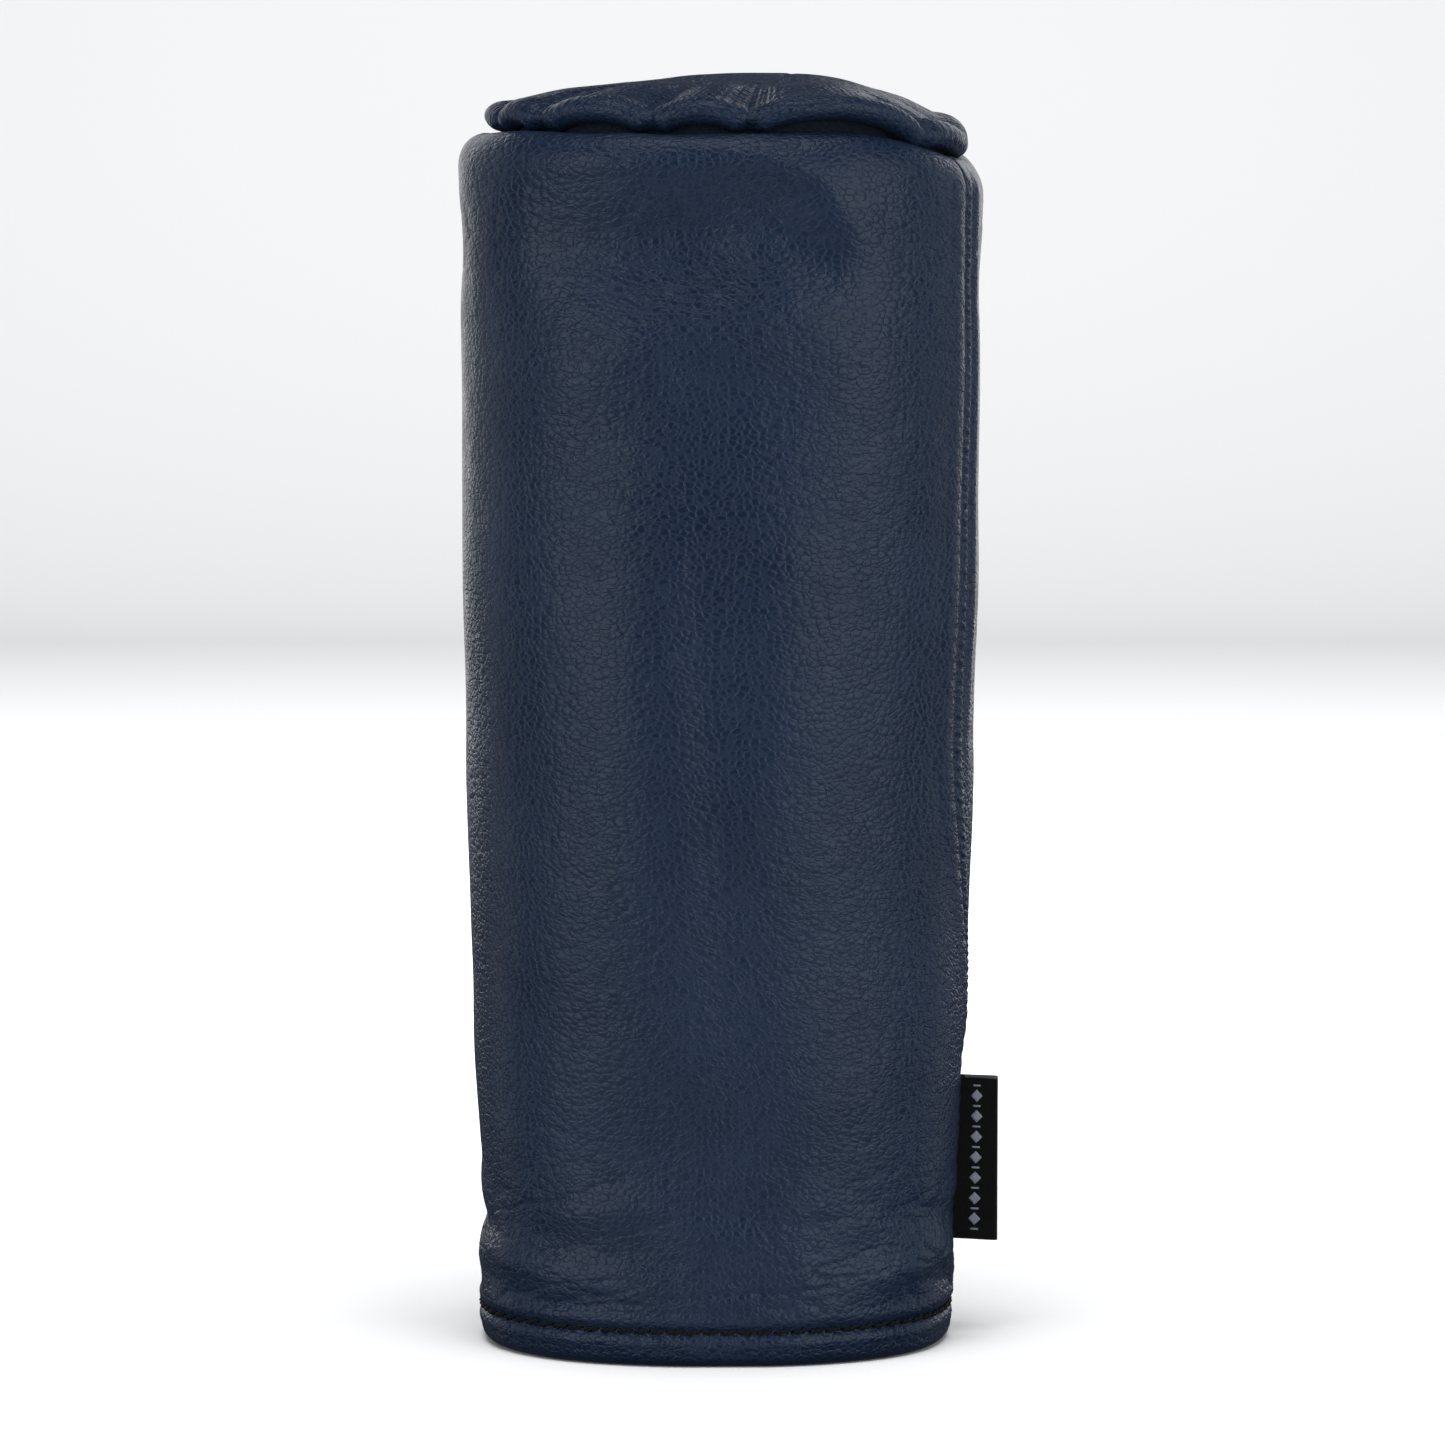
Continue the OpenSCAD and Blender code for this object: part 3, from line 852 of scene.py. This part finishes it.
def polar_solid(name, grain, flesh, measured, measured_flesh):
    """A closed solid between two polar grids that run from a rim to near the axis."""
    rows, columns = grain.shape[:2]
    back_rows, back_columns = flesh.shape[:2]
    start = rows * columns
    points = stacked(grain, flesh, grain[-1].mean(0), flesh[-1].mean(0))
    top, low = len(points) - 2, len(points) - 1
    faces = quads(rows, columns, True) + quads(back_rows, back_columns, True, True, start)
    faces += fan(start - columns, columns, top)
    faces += [f[::-1] for f in fan(top - back_columns, back_columns, low)]
    step = columns // back_columns
    for k in range(back_columns):
        run = [(k * step + q) % columns for q in range(step + 1)]
        faces.append(run[::-1] + [start + k, start + (k + 1) % back_columns])
    return make_mesh(name, points, faces, stacked(measured, measured_flesh, np.zeros((2, 3))))


def polar_grain(points, turn):
    """Grain coordinates laid out flat from the centre, so that the skin isn't stretched over the roll."""
    length = np.linalg.norm(np.diff(points, axis=0), axis=-1)
    out = np.concatenate([np.cumsum(length[::-1], axis=0)[::-1], np.zeros((1, points.shape[1]))]) + 2
    return xyz(out * np.cos(turn), out * np.sin(turn), 0.0)


def cap():
    turn = np.linspace(-np.pi, np.pi, CAP_COLUMNS + 1)[:-1]
    grain, _ = cap_surface(turn)
    coarse = turn[::4]
    flesh, _ = cap_surface(coarse, -LEATHER)
    flesh = flesh[::2] if (len(flesh) - 1) % 2 == 0 else np.concatenate([flesh[::2], flesh[-1:]])
    piece = polar_solid("cap_leather", grain, flesh, polar_grain(grain, turn), polar_grain(flesh, coarse))
    dress(piece, "cover", "navy_leather", NAVY, "top_disc")
    # painted shade: the cap's seam and underside rows, in the ditch under its lip, get the darkened leather
    # colour
    ditch_shade = smooth((17 - np.arange(len(grain))[:, None]) / 6) + 0 * turn
    paint_ditch_shade(piece, np.concatenate([ditch_shade.ravel(), np.zeros(len(piece.data.vertices) - ditch_shade.size)]))
    return piece


def revolve(name, profile, columns=120, bumps=None):
    """A closed solid from a profile of (inset, z, share) that starts and ends near the axis."""
    turn = np.linspace(-np.pi, np.pi, columns + 1)[:-1]
    profile = np.array(profile)
    inset, z, share = (profile[:, k : k + 1] + 0 * turn for k in range(3))
    points = cap_point(inset, z, share, turn + 0 * z)
    if bumps is not None:
        points[..., 2] += bumps(points)
    rows = len(profile)
    low = rows * columns
    faces = quads(rows, columns, True) + [f[::-1] for f in fan(0, columns, low)]
    faces += fan(low - columns, columns, low + 1)
    points = stacked(points, points[0].mean(0), points[-1].mean(0))
    return make_mesh(name, points, faces, points)


def cap_pad():
    rim = ROLL_W + DITCH_R + LEATHER + 0.5
    base = LINING_Z[1] + 0.4
    crown = LEATHER + 1.6
    profile = [(rim, base, s) for s in np.linspace(0.02, 1, 14)]
    profile += [(rim, z, 1.0) for z in np.linspace(base, BARREL_H - 1.5, 5)[1:]]
    for s in np.linspace(0.92, 0.02, 26):
        profile.append((rim, dome(0.96 * s) - 2.2 * smooth((s - 0.45) / 0.48) - crown, s))
    piece = revolve("cap_pad_foam", profile)
    dress(piece, "cover", "foam", FOAM, "cap_pad")
    return piece


# ---- the layers inside the wall


def sleeve(name, outer, inner, columns, limits=None, tufts=0.0):
    """A closed solid swept round the barrel between an outer and an inner path of [inset, z]."""
    closed = limits is None
    low, high = limits or (0, 2 * np.pi)
    angle = np.linspace(low, high, columns + 1)
    angle = angle[:-1] if closed else angle
    loop = np.concatenate([outer, inner[::-1]])
    inset, z = loop[:, :1] + 0 * angle, loop[:, 1:] + 0 * angle
    turn = angle + seam_turn(z)
    if tufts:
        flat = place(inset, z, turn)
        pile = noise(flat, (3.2, 3.2, 3.2), 51) + 0.6 * noise(flat, (1.6, 1.6, 1.6), 52)
        inside = (np.arange(len(loop)) >= len(outer))[:, None]
        inset = inset + tufts * pile * inside
    points = place(inset, z, turn).transpose(1, 0, 2)
    rows, span = points.shape[:2]
    i, j = np.meshgrid(np.arange(rows if closed else rows - 1), np.arange(span), indexing="ij")
    i_next, j_next = (i + 1) % rows, (j + 1) % span
    corners = [i * span + j, i_next * span + j, i_next * span + j_next, i * span + j_next]
    faces = np.stack(corners, -1).reshape(-1, 4).tolist()
    if not closed:
        n = len(outer)
        for first, flip in ((0, 1), ((rows - 1) * span, -1)):
            for k in range(n - 1):
                end = [first + k, first + k + 1, first + span - 2 - k, first + span - 1 - k]
                faces.append(end[::flip])
    return make_mesh(name, points, faces, xyz(angle[:, None] * MEAN_R, travelled(loop), 0.0))


def walls(outer, inner, low, high, step):
    """The two upright sides of a layer, as paths of [inset, z]."""
    return [line((inset, low), (inset, high), step) for inset in (outer, inner)]


def interlining():
    margin = np.radians(9)
    low, high = 2 * LEATHER, BARREL_H - ROLL_H - 3
    sides = walls(LEATHER + 0.12, LEATHER + 2.1, low, high, 4)
    piece = sleeve("interlining_foam", *sides, 160, (margin, 2 * np.pi - margin))
    dress(piece, "cover", "foam", FOAM, "interlining_sleeve")
    return piece


def seam_allowances():
    """The wrap's two edges, turned back inside the side seam."""
    sides = walls(LEATHER + 0.1, LEATHER + 1.4, FACING_H + 2, BARREL_H - ROLL_H - 1, 6)
    for side, start in (("front", 2 * np.pi - 6.2 / MEAN_R), ("back", 1.5 / MEAN_R)):
        piece = sleeve("seam_allowance_" + side, *sides, 6, (start, start + 4.7 / MEAN_R))
        dress(piece, "cover", "navy_leather", SUEDE, "body_wrap")


def lining_path(inset):
    band_low, band_high = ELASTIC_Z
    out = 1.3
    return joined(
        line((inset, LINING_Z[0]), (inset + out, band_low - 0.5), 1.6),
        line((inset + out, band_low - 0.5), (inset + out, band_high + 0.5), 1.6),
        line((inset + out, band_high + 0.5), (inset, band_high + 5), 1.6),
        line((inset, band_high + 5), (inset, LINING_Z[1]), 1.6),
    )


def lining():
    piece = sleeve("lining_fleece", lining_path(FLEECE_OUT), lining_path(FLEECE_OUT + 4), 260, tufts=0.5)
    dress(piece, "cover", "fleece", FLEECE, "lining_sleeve")
    width = round(girth(FLEECE_OUT + 2, 150)[1][-1] * MM, 3)


def lining_disc():
    rim, top = FLEECE_OUT + 4.1, LINING_Z[1]
    base = top - 4
    profile = [(rim, base, s) for s in np.linspace(0.02, 0.985, 44)]
    profile += [(rim, base + 0.8, 1.0), (rim, top - 0.8, 1.0)]
    profile += [(rim, top, s) for s in np.linspace(0.985, 0.02, 16)]

    def pile(points):
        under = smooth((top - 2 - points[..., 2]) / 1.5)
        return under * (0.5 * noise(points, (3.2, 3.2, 3.2), 53) + 0.3 * noise(points, (1.6, 1.6, 1.6), 54))

    piece = revolve("lining_disc_fleece", profile, 200, pile)
    dress(piece, "cover", "fleece", FLEECE, "lining_disc")


def elastic():
    piece = sleeve("elastic_band_woven", *walls(FLEECE_OUT, FLEECE_OUT + 1.2, *ELASTIC_Z, 1.0), 220)
    dress(piece, "cover", "elastic", ELASTIC, "elastic_band")


# ---- threads


def tubes(name, lines, radius, up, sides=7):
    """Round threads of one radius along many lines of equally many points."""
    lines = np.asarray(lines)
    n, m = lines.shape[:2]
    step = np.gradient(lines, axis=1)
    length = np.linalg.norm(step, axis=-1)
    step /= length[..., None]
    side = np.cross(step, up)
    side /= np.linalg.norm(side, axis=-1)[..., None]
    other = np.cross(side, step)
    circle = np.linspace(0, 2 * np.pi, sides + 1)[:-1]
    spoke = np.cos(circle)[:, None] * side[..., None, :] + np.sin(circle)[:, None] * other[..., None, :]
    points = lines[..., None, :] + radius * spoke
    k, i, j = np.meshgrid(np.arange(n), np.arange(m - 1), np.arange(sides), indexing="ij")
    at, above, j_next = (k * m + i) * sides, (k * m + i + 1) * sides, (j + 1) % sides
    faces = np.stack([at + j, at + j_next, above + j_next, above + j], -1).reshape(-1, 4).tolist()
    for q in range(n):
        first, last = q * m * sides, (q * m + m - 1) * sides
        faces.append([first + j for j in range(sides)][::-1])
        faces.append([last + j for j in range(sides)])
    along = np.cumsum(length, axis=1)[..., None]
    return make_mesh(name, points, faces, xyz(along, circle / (2 * np.pi), 0.0))


def twisted(path, normal, strand, ply=2, turns=1.2):
    """The strands of a twisted thread along each path, half a turn apart."""
    step = np.gradient(path, axis=1)
    step /= np.linalg.norm(step, axis=-1)[..., None]
    across = np.cross(step, normal)
    share = np.linspace(0, 1, path.shape[1])[None, :, None]
    strands = []
    for k in range(ply):
        phase = 2 * np.pi * (turns * share + k / ply) + 0.6
        strands.append(path + strand * (np.cos(phase) * across + np.sin(phase) * normal))
    return np.concatenate(strands)


def stitches(name, node, paths, radius, up):
    dress(tubes(name, paths, radius, up), "cover", "thread", THREAD, node)


def stitch_ring(name, node, inset, z, pitch=STITCH, filled=0.86, rise=0.0, outward=1, sunk=0.0, radius=0.27):
    """A ring of straight stitches that dip into the layer at both ends."""
    at, length = girth(inset, z)
    total = round(length[-1] / pitch)
    t = np.linspace(-0.5, 0.5, 13)
    count = np.arange(total)[:, None] + 0.5 + filled * t
    angle = np.interp(count * length[-1] / total, length, at)
    dive = 1.3 * np.abs(2 * t) ** 5 + sunk
    height = z + rise * t + 0 * count
    turn = angle + seam_turn(height)
    path = place(inset + outward * dive + 0 * count, height, turn)
    normal = xyz(np.cos(turn), np.sin(turn), 0.0) * outward
    stitches(name, node, twisted(path, normal, radius * 0.75), radius, (0.05, 0.03, 1))


def seam_ladder(name, node, inset, z0, z1, angle, half):
    """Short stitches that cross a vertical seam."""
    z = np.arange(z0, z1, STITCH)[:, None]
    t = np.linspace(-1, 1, 9)
    turn = angle + half * t / MEAN_R + seam_turn(z)
    height = z + 0.5 * t
    path = place(inset + 0.5 * t**2 + 0 * z, height, turn)
    stitches(name, node, path, 0.3, (0.1, 0.05, 1))


def zigzag(name, node, inset, z, half, pitch):
    """A zigzag row of stitches round the barrel."""
    at, length = girth(inset, z)
    total = 2 * round(length[-1] / pitch / 2)
    t = np.linspace(0, 1, 9)
    count = np.arange(total)[:, None] + t
    sign = np.where(np.arange(total) % 2, 1, -1)[:, None]
    turn = np.interp(count * length[-1] / total, length, at) + seam_turn(z)
    path = place(inset - 0.3 * np.sin(np.pi * t) + 0 * count, z + sign * half * (1 - 2 * t), turn)
    stitches(name, node, path, 0.25, (0.03, 0.05, 1))


def threads():
    top_seam = BARREL_H - DITCH_R - 2.5
    facing_foot = FACING_INSET - 0.2
    stitch_ring("hem_needle_stitches", "hem_needle_thread", 0, TOPSTITCH_Z, rise=0.6, sunk=0.25, radius=0.36)
    stitch_ring("hem_bobbin_stitches", "hem_bobbin_thread", FACING_INSET, TOPSTITCH_Z, outward=-1, sunk=-0.1)
    stitch_ring(
        "facing_stitches", "facing_thread", facing_foot, FACING_H, filled=0.8, rise=2.4, outward=-1, sunk=-0.2
    )
    stitch_ring("cap_seam_stitches", "cap_seam_thread", ROLL_W + DITCH_R + 0.05, top_seam, filled=0.7)
    stitch_ring("lining_cap_stitches", "lining_cap_thread", FLEECE_OUT + 4.2, LINING_Z[1] - 4.2, outward=-1)
    wall_z = FACING_H + 4, BARREL_H - ROLL_H - 2
    seam_ladder("side_seam_stitches", "side_seam_thread", 1.5, *wall_z, 0, 1.1)
    fleece_z = ELASTIC_Z[1] + 8, LINING_Z[1] - 8
    seam_ladder("lining_side_stitches", "lining_side_thread", FLEECE_OUT + 3.9, *fleece_z, np.pi, 1.6)
    zigzag("elastic_stitches", "elastic_thread", FLEECE_OUT + 1.25, sum(ELASTIC_Z) / 2, 3, 5)


# ---- label


def label_frame():
    """The label's origin on the leather and its directions out, across and up."""
    up = HINGE_AXIS
    turn = seam_turn(TAG_Z[0])
    out = np.array([math.cos(turn), math.sin(turn), 0.0])
    out -= up * out.dot(up)
    out /= np.linalg.norm(out)
    across = np.cross(up, out)
    return HINGE_POINT - 0.9 * out, out, across, up


def label_path(z_share):
    """The ribbon's middle line in [out, across], from one sewn end round the fold to the other."""
    reach = TAG_REACH - 0.5 + 1.4 * (1 - z_share)
    bow = 0.35 * np.sin(np.pi * z_share * 1.3 + 0.4)
    tip = 0.62 + 0.12 * math.sin(5 * z_share + 1)
    points = []
    for side in (-1, 1):
        out = np.linspace(-TAG_SEWN, reach - tip, 26)
        belly = TAG_PLY / 2 + 0.05 + (tip - TAG_PLY / 2) * smooth((out - 1) / (reach - tip - 1)) ** 1.4
        points.append(np.stack([out, side * belly], -1))
    turn = np.radians(np.linspace(-80, 80, 9))
    fold = np.stack([reach - tip + tip * np.cos(turn), tip * np.sin(turn)], -1)
    path = np.concatenate([points[0], fold, points[1][::-1]])
    free = np.clip(path[:, 0], 0, None) / TAG_REACH
    path[:, 1] += bow * free**2
    return path


def label_sheet(z_share):
    """The ribbon's middle line at each height, its normals, the lengths along it and the heights."""
    origin, out, across, up = label_frame()
    paths = np.stack([label_path(s) for s in z_share])
    step = np.gradient(paths, axis=1)
    step /= np.linalg.norm(step, axis=-1)[..., None]
    normals = np.stack([step[..., 1], -step[..., 0]], -1)
    height = z_share * TAG_LENGTH
    points = origin + paths[..., :1] * out + paths[..., 1:] * across + height[:, None, None] * up
    facing = normals[..., :1] * out + normals[..., 1:] * across
    return points, facing, travelled(paths[0]), height


def soft_hinge(piece):
    """Bakes the piece's transform into its mesh."""
    origin, out, _, _ = label_frame()
    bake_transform(piece)


def ribbon():
    points, facing, lengths, height = label_sheet(np.linspace(0, 1, TAG_ROWS + 1))
    front = points + TAG_PLY / 2 * facing
    back = points - TAG_PLY / 2 * facing
    faces, sides = plies(*points.shape[:2])
    measured = xyz(lengths, height[:, None], 0.0)
    both = np.concatenate([front, back]).reshape(-1, 3)
    piece = make_mesh("label_ribbon", both, faces + sides, np.concatenate([measured, measured]))
    dress(piece, None, "label_ribbon", SATIN, "side_tag", "tag_tail")
    piece.data.materials.append(PALE_BACK)
    index = np.zeros(len(piece.data.polygons), np.int32)
    index[len(faces) :] = 1
    piece.data.polygons.foreach_set("material_index", index)
    soft_hinge(piece)


def on_label(distance, height, lifted):
    """Points on the ribbon's outer face, at distances along its path and heights above its lower edge."""
    points, facing, lengths, _ = label_sheet(np.linspace(0, 1, TAG_ROWS + 1))
    row = np.clip(height / TAG_LENGTH, 0, 1) * TAG_ROWS
    r0 = np.clip(np.floor(row).astype(int), 0, TAG_ROWS - 1)
    f = (row - r0)[..., None]
    spot = np.interp(distance, lengths, np.arange(len(lengths)))
    c0 = np.clip(np.floor(spot).astype(int), 0, len(lengths) - 2)
    g = (spot - c0)[..., None]

    def blended(grid):
        low = grid[r0, c0] * (1 - g) + grid[r0, c0 + 1] * g
        high = grid[r0 + 1, c0] * (1 - g) + grid[r0 + 1, c0 + 1] * g
        return low * (1 - f) + high * f

    return blended(points) + lifted * blended(facing)


def patches(name, corner_sets, lifted, thick, steps=4):
    """Thin woven shapes on the ribbon. Each set is four corners of (distance, height)."""
    points, faces, measured = [], [], []
    t = np.linspace(0, 1, steps + 1)
    u, v = np.meshgrid(t, t)
    for corners in corner_sets:
        c = np.array(corners)
        flat = (
            c[0] * ((1 - u) * (1 - v))[..., None]
            + c[1] * (u * (1 - v))[..., None]
            + c[2] * (u * v)[..., None]
            + c[3] * ((1 - u) * v)[..., None]
        )
        start = sum(len(p) for p in points)
        for height in (lifted + thick, lifted):
            points.append(on_label(flat[..., 0], flat[..., 1], height).reshape(-1, 3))
            measured.append(np.concatenate([flat, 0 * flat[..., :1]], -1).reshape(-1, 3))
        for part in plies(steps + 1, steps + 1, start):
            faces += part
    return make_mesh(name, np.concatenate(points), faces, np.concatenate(measured))


def label_marks():
    """Plain diamonds between short bars, woven on both faces of the label, and the ticks at its cut edges."""
    _, _, lengths, _ = label_sheet(np.linspace(0, 1, TAG_ROWS + 1))
    spacing = TAG_LENGTH / (MARKS + 1)
    corner, bar_w, bar_h = 1.55, 1.0, 0.22
    low, high = TAG_LENGTH - 0.62, TAG_LENGTH - 0.04
    diamonds, bars, ticks = [], [], []
    for middle in (TAG_SEWN + 4.6, lengths[-1] - TAG_SEWN - 4.6):
        left, right = middle - bar_w, middle + bar_w
        for h in spacing * np.arange(1, MARKS + 1):
            below, above = (middle, h - corner), (middle, h + corner)
            diamonds.append([(middle - corner, h), below, (middle + corner, h), above])
        for h in spacing * (np.arange(MARKS + 1) + 0.5):
            bars.append([(left, h - bar_h), (right, h - bar_h), (right, h + bar_h), (left, h + bar_h)])
    for d in np.arange(4.2, lengths[-1] - 4.2, 0.62):
        ticks.append([(d, low), (d + 0.22, low), (d + 0.5, high), (d + 0.28, high)])
    lifted = TAG_PLY / 2 + 0.01
    marks = patches("label_motif", diamonds + bars, lifted, 0.05)
    dress(marks, "label", "label_marks", PALE, "tag_motif")
    edge = patches("label_edge_ticks", ticks, lifted, 0.03, 2)
    dress(edge, None, "label_marks", PALE)
    soft_hinge(edge)


# ---- build, stage, lights and camera

body_wrap()
cap()
cap_pad()
interlining()
seam_allowances()
lining()
lining_disc()
elastic()
threads()
ribbon()
label_marks()


def plain(name, base, rough):
    return Nodes(name, Roughness=rough, Base_Color=base, Specular_IOR_Level=0.2).material


def stage():
    """A pale floor that sweeps up into a backdrop well behind the cover."""
    half, back, radius = 4.0, 2.2, 0.8
    turn = np.linspace(0, math.pi / 2, 24)
    sweep = zip(back + radius * np.sin(turn), radius - radius * np.cos(turn))
    profile = [(-half, 0.0), *sweep, (back + radius, half)]
    verts = [(side * half, y, z) for y, z in profile for side in (-1, 1)]
    faces = [(2 * k, 2 * k + 1, 2 * k + 3, 2 * k + 2) for k in range(len(profile) - 1)]
    mesh = bpy.data.meshes.new("studio_floor")
    mesh.from_pydata(verts, [], faces)
    mesh.polygons.foreach_set("use_smooth", [True] * len(mesh.polygons))
    mesh.materials.append(plain("studio_white", (0.86, 0.87, 0.88, 1), 0.9))
    floor = put("studio_floor", mesh)
    floor.visible_glossy = False
    floor.visible_diffuse = False


def softbox(name, azimuth_deg, distance, centre_z, width, height, watts, aim_z=0.15):
    """An upright rectangular light, at an azimuth counted from the camera's side towards +X."""
    lamp = bpy.data.lights.new(name, "AREA")
    lamp.shape = "RECTANGLE"
    lamp.size, lamp.size_y = width, height
    lamp.energy = watts
    light = put(name, lamp)
    a = math.radians(azimuth_deg)
    light.location = (distance * math.sin(a), -distance * math.cos(a), centre_z)
    aim = Vector((0, 0, aim_z)) - light.location
    light.rotation_euler = aim.to_track_quat("-Z", "Y").to_euler()
    return light


def lights():
    softbox("softbox_left", -46, 1.15, 0.42, 0.95, 1.1, 4.6, 0.3)
    softbox("softbox_right", 48, 1.15, 0.42, 1.1, 1.1, 5.4, 0.3)
    softbox("edge_left", -112, 1.0, 0.3, 0.5, 1.2, 0.9, 0.3)
    softbox("edge_right", 112, 1.0, 0.3, 0.5, 1.2, 1.0, 0.3)
    softbox("top_light", 0, 0.25, 1.7, 1.2, 1.2, 6.0)
    for name, azimuth in (("back_fill_left", -155), ("back_fill_right", 155)):
        # these light the back and reach only the edges of the front
        fill = softbox(name, azimuth, 1.3, 0.5, 0.8, 1.0, 3.0, 0.2)
        fill.visible_camera = False
    # what a pale sheet in front of the hem throws back up at it
    bounce = softbox("floor_bounce", 0, 0.4, 0.002, 1.4, 0.7, 1.0)
    bounce.rotation_euler = (math.pi, 0, 0)
    bounce.visible_camera = False
    floor_light = softbox("floor_light", 0, 0.4, 2.6, 2.0, 2.0, 80, 0.0)
    wall_light = softbox("wall_light", 180, 0.3, 1.6, 3.0, 1.0, 60, 1.2)
    wall_light.rotation_euler = (math.radians(80), 0, 0)
    floor_only = bpy.data.collections.new("floor_only")
    floor_only.objects.link(bpy.data.objects["studio_floor"])
    for light in (floor_light, wall_light):
        light.light_linking.receiver_collection = floor_only
    world = bpy.data.worlds.new("studio_world")
    world.use_nodes = True
    world.node_tree.nodes["Background"].inputs["Color"].default_value = (0.9, 0.93, 1.0, 1)
    world.node_tree.nodes["Background"].inputs["Strength"].default_value = 0.05
    bpy.context.scene.world = world


def camera():
    data = bpy.data.cameras.new("camera")
    data.sensor_width = 36
    data.lens = 36 * CAMERA_DISTANCE / FRAME_WIDTH
    data.clip_end = 50
    camera = put("camera", data)
    tilt = math.radians(CAMERA_TILT_DEG)
    aim = Vector(CAMERA_AIM)
    camera.location = aim + CAMERA_DISTANCE * Vector((0, -math.cos(tilt), math.sin(tilt)))
    camera.rotation_euler = (aim - camera.location).to_track_quat("-Z", "Y").to_euler()
    bpy.context.scene.camera = camera


stage()
lights()
camera()
bpy.context.scene.view_settings.view_transform = "Standard"
